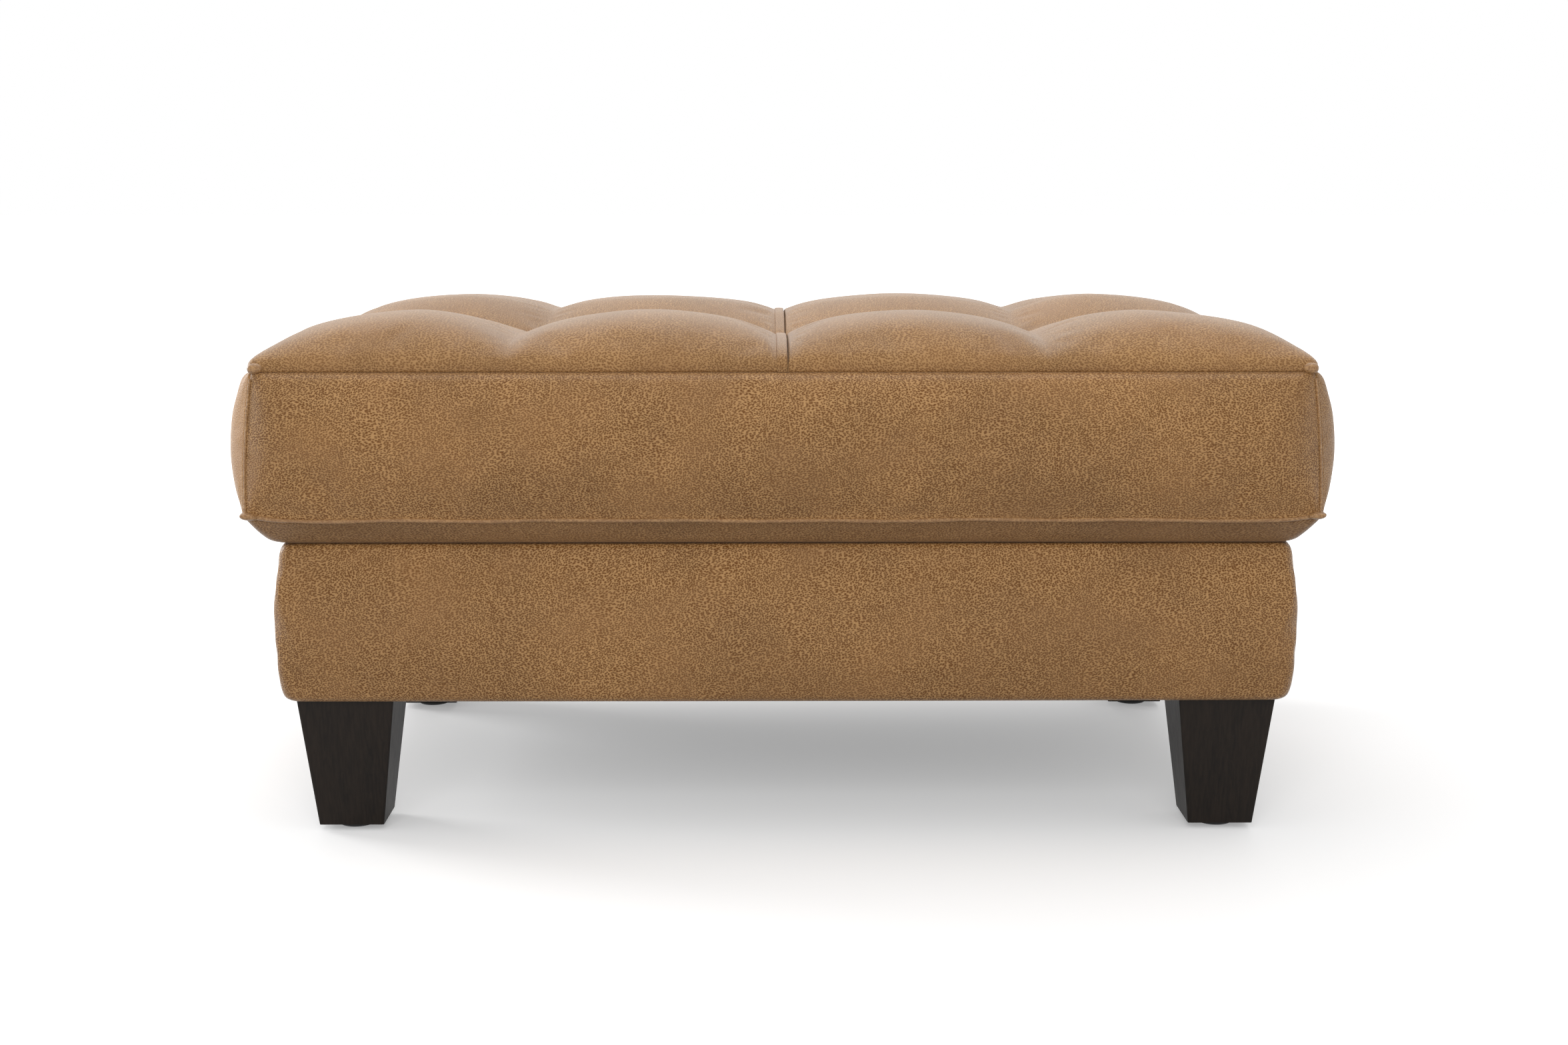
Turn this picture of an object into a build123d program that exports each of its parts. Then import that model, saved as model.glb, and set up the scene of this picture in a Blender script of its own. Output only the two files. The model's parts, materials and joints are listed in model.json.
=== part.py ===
from build123d import *
import math
import os

# Storage ottoman: a tufted leather lid, hinged at the back, on a padded leather box with four tapered legs.
# Millimetres. X runs left to right, Y front to back, Z up. The origin is on the floor under the centre.

# Levels, from the floor up
glide_thickness = 6.5
leg_height = 128.7
dust_cover_thickness = 0.6
base_height = 153.8
lid_gap = 3.4
band_height = 23
boxing_height = 141
crown_height = 47

# Leather cushion of the lid, outside sizes
lower_seam_length = 1020
lower_seam_depth = 672
seam_step = 9
seam_corner = 8
boxing_bulge = 22
boxing_bow = 3.5
boxing_corner = 70
band_tuck = 34
valley_offset = 257
crown_ledge = 0.5
crown_foot = 20
cover_thickness = 2
wrap_width = 35
boxing_shares = ((0, 0), (0.12, 0.36), (0.3, 0.78), (0.55, 1), (0.75, 0.86), (0.88, 0.56), (1, 0))
band_shares = ((0, 1), (0.06, 0.8), (0.28, 0.54), (0.6, 0.27), (1, 0))
inner_pillow_shares = ((0, 0.53), (0.2, 0.87), (0.5, 1), (0.8, 0.87), (1, 0.54))
outer_pillow_shares = ((0, 0.54), (0.2, 0.87), (0.5, 1), (0.75, 0.87), (0.92, 0.5), (1, 0.08))
row_crest_share = 0.5
row_dip_share = 0.53
welt_radius = 2.5
strip_width = 10
strip_thickness = 1
strip_start = 0.6

# Lid board, its lining and the tufts
board_thickness = 16
board_edge_inset = 6
board_corner = 5
lid_lining_thickness = 0.8
lid_lining_inset = 16
twine_radius = 1
tuft_sink = 4
washer_radius = 11
washer_thickness = 1.6

# Padded box, outside sizes
lid_overhang = 16
base_corner = 14
base_draw = 18
base_bow = 2
base_shares = ((0, 0.8), (0.1, 0.26), (0.3, 0.06), (0.55, 0), (0.78, 0.16), (0.92, 0.5), (1, 1))
ply_thickness = 15
pad_end_gap = 4
floor_thickness = 18
lining_thickness = 1
base_wrap_width = 40
dust_cover_lap = 23
frame_screw_radius = 2
frame_screw_length = 40
frame_screw_inset = 25
frame_screw_recess = 4

# Legs and what holds them
leg_top = 93.8
leg_bottom = 63.5
leg_edge_radius = 2
leg_side_inset = 4.5
glide_radius = 18.7
glide_edge = 1.5
nail_radius = 1.5
nail_length = 22
nail_head_radius = 4
nail_head_thickness = 1
bolt_radius = 4
bolt_depth = 45
tee_nut_wall = 1.5
tee_nut_flange_radius = 11
tee_nut_flange_thickness = 1.5
bolt_clearance = 1

# Rubber bumpers on the rim
bumper_radius = 5
bumper_clearance = 0.3
bumper_side_spacing = 220
bumper_front_spacing = 330

# Hinges
hinge_setback = 8.5
hinge_spacing = 330
hinge_length = 76
leaf_thickness = 1.5
leaf_overlap = 29.5
barrel_radius = 3
pin_radius = 1.5
pin_head = 1
knuckle_gap = 0.3
knuckle_count = 5
knuckle_relief = 0.3
screw_radius = 1.7
screw_head_radius = 3.2
screw_head_thickness = 0.8
screw_length = 14
screw_spacing = 28
screw_edge = 8

# Gas struts
strut_setback = 39
strut_end_gap = 2.74055
strut_floor_gap = 10.2
lid_pivot_drop = 15
strut_offset = 14
pivot_radius = 4
pivot_head_radius = 6
pivot_head_thickness = 1.5
pivot_end_play = 0.3
running_clearance = 0.06
eye_radius = 7.5
eye_width = 9
eye_reach = 10
stud_radius = 2.5
stud_depth = 3
tube_radius = 7.5
tube_wall = 1.3
tube_end = 2
piston_spare = 4.5
guide_length = 8
rod_radius = 3
piston_thickness = 4
piston_gap = 0.9
bracket_thickness = 2
bracket_front = 16
bracket_back = 8
bracket_low = 8
bracket_high = 22
bracket_screw_inset = 5
lid_tab_clearance = 1
lid_tab_half_width = 10
lid_plate_length = 30
lid_plate_thickness = 1.5

overrun = 5

# Levels and places worked out from the sizes above
leg_top_z = glide_thickness + leg_height
base_bottom_z = leg_top_z + dust_cover_thickness
rim_z = base_bottom_z + base_height
lid_bottom_z = rim_z + lid_gap
lower_seam_z = lid_bottom_z + band_height
top_seam_z = lower_seam_z + boxing_height
crest_z = top_seam_z + crown_height
board_z = lid_bottom_z + cover_thickness
lid_lining_z = lid_bottom_z - lid_lining_thickness
ply_bottom_z = base_bottom_z + cover_thickness
ply_top_z = rim_z - cover_thickness
floor_top_z = ply_bottom_z + floor_thickness
well_floor_z = floor_top_z + lining_thickness

top_seam_length = lower_seam_length - 2 * seam_step
top_seam_depth = lower_seam_depth - 2 * seam_step
base_length = lower_seam_length - 2 * lid_overhang
base_depth = lower_seam_depth - 2 * lid_overhang
ply_half_length = base_length / 2 - base_draw - cover_thickness - base_bow
ply_half_depth = base_depth / 2 - base_draw - cover_thickness - base_bow
well_half_length = ply_half_length - ply_thickness
well_half_depth = ply_half_depth - ply_thickness
lining_half_length = well_half_length - lining_thickness
lining_half_depth = well_half_depth - lining_thickness
board_half_length = lower_seam_length / 2 - band_tuck - board_edge_inset
board_half_depth = lower_seam_depth / 2 - band_tuck - board_edge_inset

base_foot_half_length = base_length / 2 - base_draw * base_shares[0][1]
base_foot_half_depth = base_depth / 2 - base_draw * base_shares[0][1]
leg_x = base_foot_half_length - leg_side_inset - leg_top / 2
leg_y = base_foot_half_depth - leg_side_inset - leg_top / 2
corners = ((-1, -1), (1, -1), (-1, 1), (1, 1))

hinge_y = base_depth / 2 - hinge_setback
hinge_z = rim_z + lid_gap / 2
hinge_xs = (-hinge_spacing, 0, hinge_spacing)
screw_row_y = hinge_y - leaf_overlap + screw_edge

strut_x = lining_half_length - strut_offset
base_pivot_y = hinge_y - strut_setback
base_pivot_z = well_floor_z + strut_floor_gap
strut_arm = math.hypot(strut_setback, hinge_z - base_pivot_z)
lid_pivot_z = hinge_z - lid_pivot_drop
lid_pivot_y = hinge_y - math.sqrt(strut_arm ** 2 - lid_pivot_drop ** 2)
strut_length = math.hypot(lid_pivot_y - base_pivot_y, lid_pivot_z - base_pivot_z)
strut_up = Vector(0, lid_pivot_y - base_pivot_y, lid_pivot_z - base_pivot_z).normalized()
tube_length = strut_length - 2 * eye_reach - strut_end_gap
stroke = tube_length - tube_end - piston_gap - piston_thickness - piston_spare - guide_length
closed_half_angle = math.asin(strut_length / (2 * strut_arm))
open_half_angle = math.asin((strut_length + stroke) / (2 * strut_arm))
lid_open_angle = math.degrees(2 * (open_half_angle - closed_half_angle))

parts = {}


def block(low, high):
    size = [h - l for l, h in zip(low, high)]
    return Pos(*low) * Box(*size, align=(Align.MIN, Align.MIN, Align.MIN))


def plate(half_length, half_depth, low, high):
    return block((-half_length, -half_depth, low), (half_length, half_depth, high))


def pin(start, direction, radius, length):
    along = (Align.CENTER, Align.CENTER, Align.MIN)
    return Plane(origin=start, z_dir=direction) * Cylinder(radius, length, align=along)


def joined(shapes):
    whole = shapes[0]
    for shape in shapes[1:]:
        whole += shape
    return whole


def drilled(shape, tools):
    for tool in tools:
        shape -= tool
    return shape


# One level of a cushion: four sides that bow out at their middles, and four round corners
def outline_edges(half_length, half_depth, corner, bow, level):
    a, b, r = half_length, half_depth, corner
    c = r * (1 - math.sqrt(0.5))
    ends = ((r - a, -b), (a - r, -b), (a, r - b), (a, b - r), (a - r, b), (r - a, b), (-a, b - r), (-a, r - b))
    middles = (
        (0, -b - bow), (a - c, c - b), (a + bow, 0), (a - c, b - c),
        (0, b + bow), (c - a, b - c), (-a - bow, 0), (c - a, c - b),
    )
    edges = []
    for number, middle in enumerate(middles):
        start = (*ends[number], level)
        end = (*ends[(number + 1) % len(ends)], level)
        straight = bow == 0 and number % 2 == 0
        edges.append(Line(start, end) if straight else ThreePointArc(start, (*middle, level), end))
    return edges


def outline(half_length, half_depth, corner, bow, level):
    return make_face(outline_edges(half_length, half_depth, corner, bow, level))


# Lid cushion, drawn in by an inset so that the same form gives the leather's outside and inside
def band_form(inset):
    sections = []
    for height, tuck in band_shares:
        level = lid_bottom_z + band_height * height + (inset if height == 0 else 0)
        half_length = lower_seam_length / 2 - band_tuck * tuck - inset
        half_depth = lower_seam_depth / 2 - band_tuck * tuck - inset
        sections.append(outline(half_length, half_depth, seam_corner - inset, 0, level))
    return loft(sections)


def boxing_form(inset):
    sections = []
    for height, bulge in boxing_shares:
        level = lower_seam_z + boxing_height * height - (inset if height == 1 else 0)
        length = lower_seam_length + (top_seam_length - lower_seam_length) * height
        depth = lower_seam_depth + (top_seam_depth - lower_seam_depth) * height
        out = boxing_bulge * bulge - inset
        corner = seam_corner + (boxing_corner - seam_corner) * bulge - inset
        bow = boxing_bow * bulge
        sections.append(outline(length / 2 + out, depth / 2 + out, corner, bow, level))
    return loft(sections)


# One slice of the crown at X: a flat foot and two arcs that meet in the dip between the rows
def crown_slice(x, rise, half_depth, edge_z):
    foot = edge_z - crown_foot
    crest = edge_z + crown_height * rise
    dip = edge_z + crown_height * rise * row_dip_share
    crest_y = half_depth * row_crest_share
    return make_face([
        Line((x, -half_depth, foot), (x, half_depth, foot)),
        Line((x, half_depth, foot), (x, half_depth, edge_z)),
        ThreePointArc((x, half_depth, edge_z), (x, crest_y, crest), (x, 0, dip)),
        ThreePointArc((x, 0, dip), (x, -crest_y, crest), (x, -half_depth, edge_z)),
        Line((x, -half_depth, edge_z), (x, -half_depth, foot)),
    ])


def crown_form(inset):
    half_length = top_seam_length / 2 - crown_ledge - inset
    half_depth = top_seam_depth / 2 - crown_ledge - inset
    edge_z = top_seam_z - inset
    pillows = []
    for side in (-1, 1):
        for start, end, shares in (
            (0, valley_offset, inner_pillow_shares),
            (valley_offset, half_length, outer_pillow_shares),
        ):
            slices = [
                crown_slice(side * (start + (end - start) * place), rise, half_depth, edge_z)
                for place, rise in shares
            ]
            pillows.append(loft(slices))
    plan = outline(half_length, half_depth, seam_corner - inset, 0, edge_z - crown_foot - overrun)
    reach = crown_foot + crown_height + 2 * overrun
    return joined(pillows) & extrude(plan, reach, dir=(0, 0, 1))


def cushion_form(inset):
    return band_form(inset) + boxing_form(inset) + crown_form(inset)


# Padded box of the base, drawn in by an inset
def base_form(inset):
    sections = []
    for height, draw in base_shares:
        level = base_bottom_z + base_height * height
        if height in (0, 1):
            level += inset if height == 0 else -inset
        half_length = base_length / 2 - base_draw * draw - base_bow - inset
        half_depth = base_depth / 2 - base_draw * draw - base_bow - inset
        sections.append(outline(half_length, half_depth, base_corner - inset, base_bow, level))
    return loft(sections)


# The share of the plan that belongs to one side, split from its neighbours at the corners' diagonals
def side_region(side, half_length, half_depth, low, high):
    reach = half_depth
    inner = half_depth - overrun
    a, b = half_length + reach, half_depth + reach
    c, d = half_length - inner, half_depth - inner
    plans = {
        "front": ((-a, -b), (a, -b), (c, -d), (-c, -d)),
        "back": ((-c, d), (c, d), (a, b), (-a, b)),
        "left": ((-a, -b), (-c, -d), (-c, d), (-a, b)),
        "right": ((c, -d), (a, -b), (a, b), (c, d)),
    }
    edges = Polyline([(x, y, low) for x, y in plans[side]], close=True)
    return extrude(make_face(edges), high - low, dir=(0, 0, 1))


# Screws for the hinges, the frame and the struts' brackets
def screw(start, direction, length):
    head = pin(start, direction, screw_head_radius, screw_head_thickness)
    return head + pin(start, direction, screw_radius, length)


def hinge_screws():
    base_screws, lid_screws = [], []
    for hinge_x in hinge_xs:
        for offset in (-screw_spacing, 0, screw_spacing):
            x = hinge_x + offset
            base_screws.append(screw((x, screw_row_y, rim_z + leaf_thickness), (0, 0, -1), screw_length))
            lid_screws.append(screw((x, screw_row_y, lid_bottom_z - leaf_thickness), (0, 0, 1), screw_length))
    return base_screws, lid_screws


def strut_screws():
    base_screws, lid_screws = [], []
    plate_x = lining_half_length - bracket_thickness
    row_z = base_pivot_z + bracket_high - bracket_screw_inset
    front_y = base_pivot_y - bracket_front + bracket_screw_inset
    back_y = base_pivot_y + bracket_back - bracket_screw_inset
    tab_x = lining_half_length - lid_tab_clearance
    lid_z = lid_lining_z - lid_plate_thickness
    inner_x = tab_x - lid_plate_length + bracket_screw_inset
    outer_x = tab_x - lid_plate_length / 2
    for side in (-1, 1):
        for y in (front_y, back_y):
            base_screws.append(screw((side * plate_x, y, row_z), (side, 0, 0), screw_length))
        for x in (inner_x, outer_x):
            lid_screws.append(screw((side * x, lid_pivot_y, lid_z), (0, 0, 1), screw_length))
    return base_screws, lid_screws


def frame_screws():
    x = ply_half_length - ply_thickness / 2
    low = ply_bottom_z + frame_screw_inset
    high = ply_top_z - frame_screw_inset
    screws = []
    for side_x, side_y in corners:
        for z in (low, (low + high) / 2, high):
            start = (side_x * x, side_y * (ply_half_depth - frame_screw_recess), z)
            screws.append(pin(start, (0, -side_y, 0), frame_screw_radius, frame_screw_length))
    return screws


# Legs, their bolts and tee nuts, and the glides
def leg(side_x, side_y):
    bottom = Pos(side_x * leg_x, side_y * leg_y, glide_thickness) * RectangleRounded(
        leg_bottom, leg_bottom, leg_edge_radius)
    top = Pos(side_x * leg_x, side_y * leg_y, leg_top_z) * RectangleRounded(
        leg_top, leg_top, leg_edge_radius)
    return loft([bottom, top], ruled=True)


def bolt(side_x, side_y):
    start = (side_x * leg_x, side_y * leg_y, leg_top_z - bolt_depth)
    return pin(start, (0, 0, 1), bolt_radius, floor_top_z - leg_top_z + bolt_depth)


# Clearance holes for the bolts in the cloth and the leather under the box
def bolt_ways():
    start_z = leg_top_z - overrun
    length = ply_bottom_z - start_z
    radius = bolt_radius + bolt_clearance
    return [pin((side_x * leg_x, side_y * leg_y, start_z), (0, 0, 1), radius, length) for side_x, side_y in corners]


def tee_nut(side_x, side_y, hollow=True):
    x, y = side_x * leg_x, side_y * leg_y
    barrel = pin((x, y, ply_bottom_z), (0, 0, 1), bolt_radius + tee_nut_wall, floor_thickness)
    flange_z = floor_top_z - tee_nut_flange_thickness
    flange = pin((x, y, flange_z), (0, 0, 1), tee_nut_flange_radius, tee_nut_flange_thickness)
    whole = barrel + flange
    return whole - bolt(side_x, side_y) if hollow else whole


def nail(side_x, side_y):
    x, y = side_x * leg_x, side_y * leg_y
    shank = pin((x, y, nail_head_thickness), (0, 0, 1), nail_radius, nail_length)
    return shank + pin((x, y, nail_head_thickness), (0, 0, 1), nail_head_radius, nail_head_thickness)


def glide(side_x, side_y):
    x, y = side_x * leg_x, side_y * leg_y
    disc = pin((x, y, 0), (0, 0, 1), glide_radius, glide_thickness)
    disc = chamfer(disc.edges().group_by(Axis.Z)[0], glide_edge)
    recess = pin((x, y, -overrun), (0, 0, 1), nail_head_radius, overrun + nail_head_thickness)
    return disc - recess - nail(side_x, side_y)


def make_legs():
    names = ("leg_front_left", "leg_front_right", "leg_back_left", "leg_back_right")
    for name, corner in zip(names, corners):
        parts[name] = leg(*corner) - bolt(*corner) - nail(*corner)
    parts["hanger_bolts"] = [bolt(*corner) for corner in corners]
    parts["tee_nuts"] = [tee_nut(*corner) for corner in corners]
    parts["glides"] = [glide(*corner) for corner in corners]
    parts["glide_nails"] = [nail(*corner) for corner in corners]


# Plywood box, its floor, the lining of the well and the cloth under the floor
def make_box():
    hinge_holes, _ = hinge_screws()
    strut_holes, _ = strut_screws()
    screws = frame_screws()
    ring = extrude(outline(ply_half_length, ply_half_depth, base_corner - cover_thickness, 0, ply_bottom_z),
                   ply_top_z - ply_bottom_z, dir=(0, 0, 1))
    ring -= plate(well_half_length, well_half_depth, ply_bottom_z - overrun, ply_top_z + overrun)
    front = plate(ply_half_length, ply_half_depth, ply_bottom_z, ply_top_z)
    span = block((-ply_half_length, -well_half_depth, ply_bottom_z - overrun),
                 (ply_half_length, well_half_depth, ply_top_z + overrun))
    ends = ring & (front - span)
    sides = ring & span
    for name, shape, axis in (("front_panel", ends, Axis.Y), ("left_panel", sides, Axis.X)):
        first, last = shape.solids().sort_by(axis)
        other = name.replace("front", "back").replace("left", "right")
        parts[name] = drilled(first, screws + hinge_holes + strut_holes)
        parts[other] = drilled(last, screws + hinge_holes + strut_holes)
    parts["frame_screws"] = screws
    floor = plate(well_half_length, well_half_depth, ply_bottom_z, floor_top_z)
    parts["storage_floor"] = drilled(floor, [tee_nut(*corner, hollow=False) for corner in corners])
    lining = plate(well_half_length, well_half_depth, floor_top_z, ply_top_z)
    lining -= plate(lining_half_length, lining_half_depth, well_floor_z, ply_top_z + overrun)
    parts["well_lining"] = drilled(lining, strut_holes)
    cloth_half_length = ply_half_length - base_wrap_width + dust_cover_lap
    cloth_half_depth = ply_half_depth - base_wrap_width + dust_cover_lap
    cloth = plate(cloth_half_length, cloth_half_depth, leg_top_z, base_bottom_z)
    parts["dust_cover"] = drilled(cloth, bolt_ways())


# Foam pads and leather of the base
def make_base_cover():
    outer = base_form(0)
    inner = base_form(cover_thickness)
    hinge_holes, _ = hinge_screws()
    box = extrude(outline(ply_half_length, ply_half_depth, base_corner - cover_thickness, 0,
                          ply_bottom_z - overrun), base_height + 2 * overrun, dir=(0, 0, 1))
    low = ply_bottom_z + pad_end_gap
    high = ply_top_z - pad_end_gap
    padding = (inner & plate(base_length, base_depth, low, high)) - box
    for side in ("front", "back", "left", "right"):
        region = side_region(side, ply_half_length, ply_half_depth, low - overrun, high + overrun)
        parts["pad_" + side] = padding & region
    leather = outer - inner
    leather -= plate(lining_half_length, lining_half_depth, ply_top_z - overrun, rim_z + overrun)
    leather -= plate(ply_half_length - base_wrap_width, ply_half_depth - base_wrap_width,
                     base_bottom_z - overrun, ply_bottom_z + overrun)
    leather = drilled(leather, bolt_ways() + hinge_holes)
    back = side_region("back", ply_half_length, ply_half_depth, base_bottom_z - overrun, rim_z + overrun)
    parts["base_cover_back"] = leather & back
    parts["base_cover_wrap"] = leather - back


def make_bumpers():
    x = ply_half_length - ply_thickness / 2
    y = ply_half_depth - ply_thickness / 2
    height = lid_gap - bumper_clearance
    places = [(side * x, offset) for side in (-1, 1) for offset in (-bumper_side_spacing, 0)]
    places += [(offset, -y) for offset in (-bumper_front_spacing, 0, bumper_front_spacing)]
    parts["rim_bumpers"] = [
        pin((place_x, place_y, rim_z), (0, 0, 1), bumper_radius, height) for place_x, place_y in places
    ]


# Lid board and its lining
def make_lid_board(lid_holes, tufts):
    corner_plan = outline(board_half_length, board_half_depth, board_corner, 0, board_z)
    board = extrude(corner_plan, board_thickness, dir=(0, 0, 1))
    lining = plate(board_half_length - lid_lining_inset, board_half_depth - lid_lining_inset,
                   lid_lining_z, lid_bottom_z)
    parts["lid_board"] = drilled(board, lid_holes + tufts)
    parts["lid_lining"] = drilled(lining, lid_holes)


def tuft_twines():
    dip_z = top_seam_z - cover_thickness + crown_height * inner_pillow_shares[0][1] * row_dip_share
    start_z = board_z - washer_thickness
    length = dip_z - tuft_sink - start_z
    return [pin((x, 0, start_z), (0, 0, 1), twine_radius, length) for x in (-valley_offset, 0, valley_offset)]


def make_cushion():
    _, hinge_lid = hinge_screws()
    _, strut_lid = strut_screws()
    lid_holes = hinge_lid + strut_lid
    twines = tuft_twines()
    make_lid_board(lid_holes, twines)
    washers = []
    for twine, x in zip(twines, (-valley_offset, 0, valley_offset)):
        disc = pin((x, 0, board_z - washer_thickness), (0, 0, 1), washer_radius, washer_thickness)
        washers.append(disc - twine)
    parts["tuft_twines"] = twines
    parts["tuft_washers"] = washers
    outer = cushion_form(0)
    inner = cushion_form(cover_thickness)
    board = extrude(outline(board_half_length, board_half_depth, board_corner, 0, board_z - overrun),
                    board_thickness + overrun, dir=(0, 0, 1))
    parts["foam_core"] = drilled(inner - board, twines)
    leather = outer - inner
    reach = lower_seam_length
    band = leather & plate(reach, reach, lid_bottom_z - overrun, lower_seam_z)
    band -= plate(board_half_length - wrap_width, board_half_depth - wrap_width,
                  lid_bottom_z - overrun, board_z + overrun)
    boxing = leather & plate(reach, reach, lower_seam_z, top_seam_z)
    top = leather & plate(reach, reach, top_seam_z, crest_z + overrun)
    parts["lower_band"] = drilled(band, lid_holes)
    for side in ("front", "back", "left", "right"):
        region = side_region(side, top_seam_length / 2, top_seam_depth / 2,
                             lower_seam_z - overrun, top_seam_z + overrun)
        parts["boxing_" + side] = boxing & region
    parts["top_cover_left"] = top & block((-reach, -reach, lower_seam_z), (0, reach, crest_z + overrun))
    parts["top_cover_right"] = top & block((0, -reach, lower_seam_z), (reach, reach, crest_z + overrun))
    slab = block((-strip_start - strip_width, -top_seam_depth / 2 + seam_corner, top_seam_z),
                 (-strip_start, top_seam_depth / 2 - seam_corner, crest_z + overrun))
    raised = Pos(0, 0, strip_thickness) * crown_form(0)
    parts["centre_seam_strip"] = (raised & slab) - crown_form(0)
    path = Wire(outline_edges(lower_seam_length / 2, lower_seam_depth / 2, seam_corner, 0, lower_seam_z))
    start = Plane(origin=(0, -lower_seam_depth / 2, lower_seam_z), z_dir=(1, 0, 0))
    ring = sweep(start * Circle(welt_radius), path=path)
    parts["lower_welt"] = ring - outer


# Hinges in the crease at the back
def knuckle_span(hinge_x, number):
    pitch = hinge_length / knuckle_count
    start = hinge_x - hinge_length / 2 + pitch * number
    return start + knuckle_gap / 2, pitch - knuckle_gap


def leaf(hinge_x, low_z, own_knuckles, screws):
    plate_low = (hinge_x - hinge_length / 2, hinge_y - leaf_overlap, low_z)
    plate_high = (hinge_x + hinge_length / 2, hinge_y, low_z + leaf_thickness)
    shape = block(plate_low, plate_high)
    for number in range(knuckle_count):
        start, length = knuckle_span(hinge_x, number)
        if number in own_knuckles:
            shape += pin((start, hinge_y, hinge_z), (1, 0, 0), barrel_radius, length)
        else:
            room_start = (start - knuckle_gap, hinge_y, hinge_z)
            shape -= pin(room_start, (1, 0, 0), barrel_radius + knuckle_relief, length + 2 * knuckle_gap)
    bore_start = (hinge_x - hinge_length, hinge_y, hinge_z)
    shape -= pin(bore_start, (1, 0, 0), pin_radius + running_clearance, 2 * hinge_length)
    return drilled(shape, screws)


def make_hinges():
    base_screws, lid_screws = hinge_screws()
    odd = range(1, knuckle_count, 2)
    even = range(0, knuckle_count, 2)
    base_leaves, lid_leaves, pins = [], [], []
    for hinge_x in hinge_xs:
        base_leaves.append(leaf(hinge_x, rim_z, even, base_screws))
        lid_leaves.append(leaf(hinge_x, lid_bottom_z - leaf_thickness, odd, lid_screws))
        start = (hinge_x - hinge_length / 2 - pin_head, hinge_y, hinge_z)
        shaft = pin(start, (1, 0, 0), pin_radius, hinge_length + 2 * pin_head)
        for end_x in (start[0], hinge_x + hinge_length / 2):
            shaft += pin((end_x, hinge_y, hinge_z), (1, 0, 0), barrel_radius, pin_head)
        pins.append(shaft)
    parts["hinge_base_leaves"] = base_leaves
    parts["hinge_lid_leaves"] = lid_leaves
    parts["hinge_pins"] = pins
    parts["hinge_base_screws"] = base_screws
    parts["hinge_lid_screws"] = lid_screws


# Gas struts: each lies on the chord between two pivots that are equally far from the hinge axis
def pivot_stud(side, centre_y, centre_z, plate_x):
    head_x = strut_x - eye_width / 2 - pivot_end_play
    start = (side * plate_x, centre_y, centre_z)
    shank = pin(start, (-side, 0, 0), pivot_radius, plate_x - head_x)
    head_start = (side * head_x, centre_y, centre_z)
    return shank + pin(head_start, (-side, 0, 0), pivot_head_radius, pivot_head_thickness)


def base_bracket(side):
    inner_x = lining_half_length - bracket_thickness
    near, far = sorted((side * inner_x, side * lining_half_length))
    sheet = block((near, base_pivot_y - bracket_front, base_pivot_z - bracket_low),
                  (far, base_pivot_y + bracket_back, base_pivot_z + bracket_high))
    return sheet + pivot_stud(side, base_pivot_y, base_pivot_z, inner_x)


def lid_bracket(side):
    tab_x = lining_half_length - lid_tab_clearance
    near, far = sorted((side * (tab_x - bracket_thickness), side * tab_x))
    low_y, high_y = lid_pivot_y - lid_tab_half_width, lid_pivot_y + lid_tab_half_width
    tab = block((near, low_y, lid_pivot_z - bracket_low), (far, high_y, lid_lining_z))
    near, far = sorted((side * (tab_x - lid_plate_length), side * tab_x))
    flange = block((near, low_y, lid_lining_z - lid_plate_thickness), (far, high_y, lid_lining_z))
    return tab + flange + pivot_stud(side, lid_pivot_y, lid_pivot_z, tab_x - bracket_thickness)


def eye(frame_plane):
    across = (-eye_width / 2, 0, 0)
    body = pin(across, (1, 0, 0), eye_radius, eye_width)
    body += pin((0, 0, 0), (0, 0, 1), eye_width / 2, eye_reach)
    body -= pin(across, (1, 0, 0), pivot_radius + running_clearance, eye_width)
    body -= pin((0, 0, eye_reach - stud_depth), (0, 0, 1), stud_radius, 2 * stud_depth)
    return frame_plane * body


def cylinder_body(frame_plane):
    tube = pin((0, 0, eye_reach), (0, 0, 1), tube_radius, tube_length)
    bore_start = (0, 0, eye_reach + tube_end)
    tube -= pin(bore_start, (0, 0, 1), tube_radius - tube_wall, tube_length - tube_end - guide_length)
    tube -= pin(bore_start, (0, 0, 1), rod_radius + running_clearance, tube_length)
    tube += pin((0, 0, eye_reach - stud_depth), (0, 0, 1), stud_radius, stud_depth)
    return frame_plane * tube


def rod_body(frame_plane):
    bottom = strut_length - eye_reach - tube_end - piston_gap
    shaft = pin((0, 0, eye_reach), (0, 0, 1), rod_radius, bottom - eye_reach)
    shaft += pin((0, 0, eye_reach - stud_depth), (0, 0, 1), stud_radius, stud_depth)
    piston_radius = tube_radius - tube_wall - running_clearance
    shaft += pin((0, 0, bottom - piston_thickness), (0, 0, 1), piston_radius, piston_thickness)
    return frame_plane * shaft


def make_struts():
    base_screws, lid_screws = strut_screws()
    base_brackets, lid_brackets = [], []
    for side, name in ((-1, "left"), (1, "right")):
        base_pivot = (side * strut_x, base_pivot_y, base_pivot_z)
        lid_pivot = (side * strut_x, lid_pivot_y, lid_pivot_z)
        from_base = Plane(origin=base_pivot, x_dir=(1, 0, 0), z_dir=strut_up)
        from_lid = Plane(origin=lid_pivot, x_dir=(1, 0, 0), z_dir=-strut_up)
        parts["strut_cylinder_" + name] = cylinder_body(from_base)
        parts["strut_base_eye_" + name] = eye(from_base)
        parts["strut_rod_" + name] = rod_body(from_lid)
        parts["strut_lid_eye_" + name] = eye(from_lid)
        base_brackets.append(drilled(base_bracket(side), base_screws))
        lid_brackets.append(drilled(lid_bracket(side), lid_screws))
    parts["strut_base_brackets"] = base_brackets
    parts["strut_lid_brackets"] = lid_brackets
    parts["strut_base_screws"] = base_screws
    parts["strut_lid_screws"] = lid_screws


make_legs()
make_box()
make_base_cover()
make_bumpers()
make_cushion()
make_hinges()
make_struts()

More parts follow.
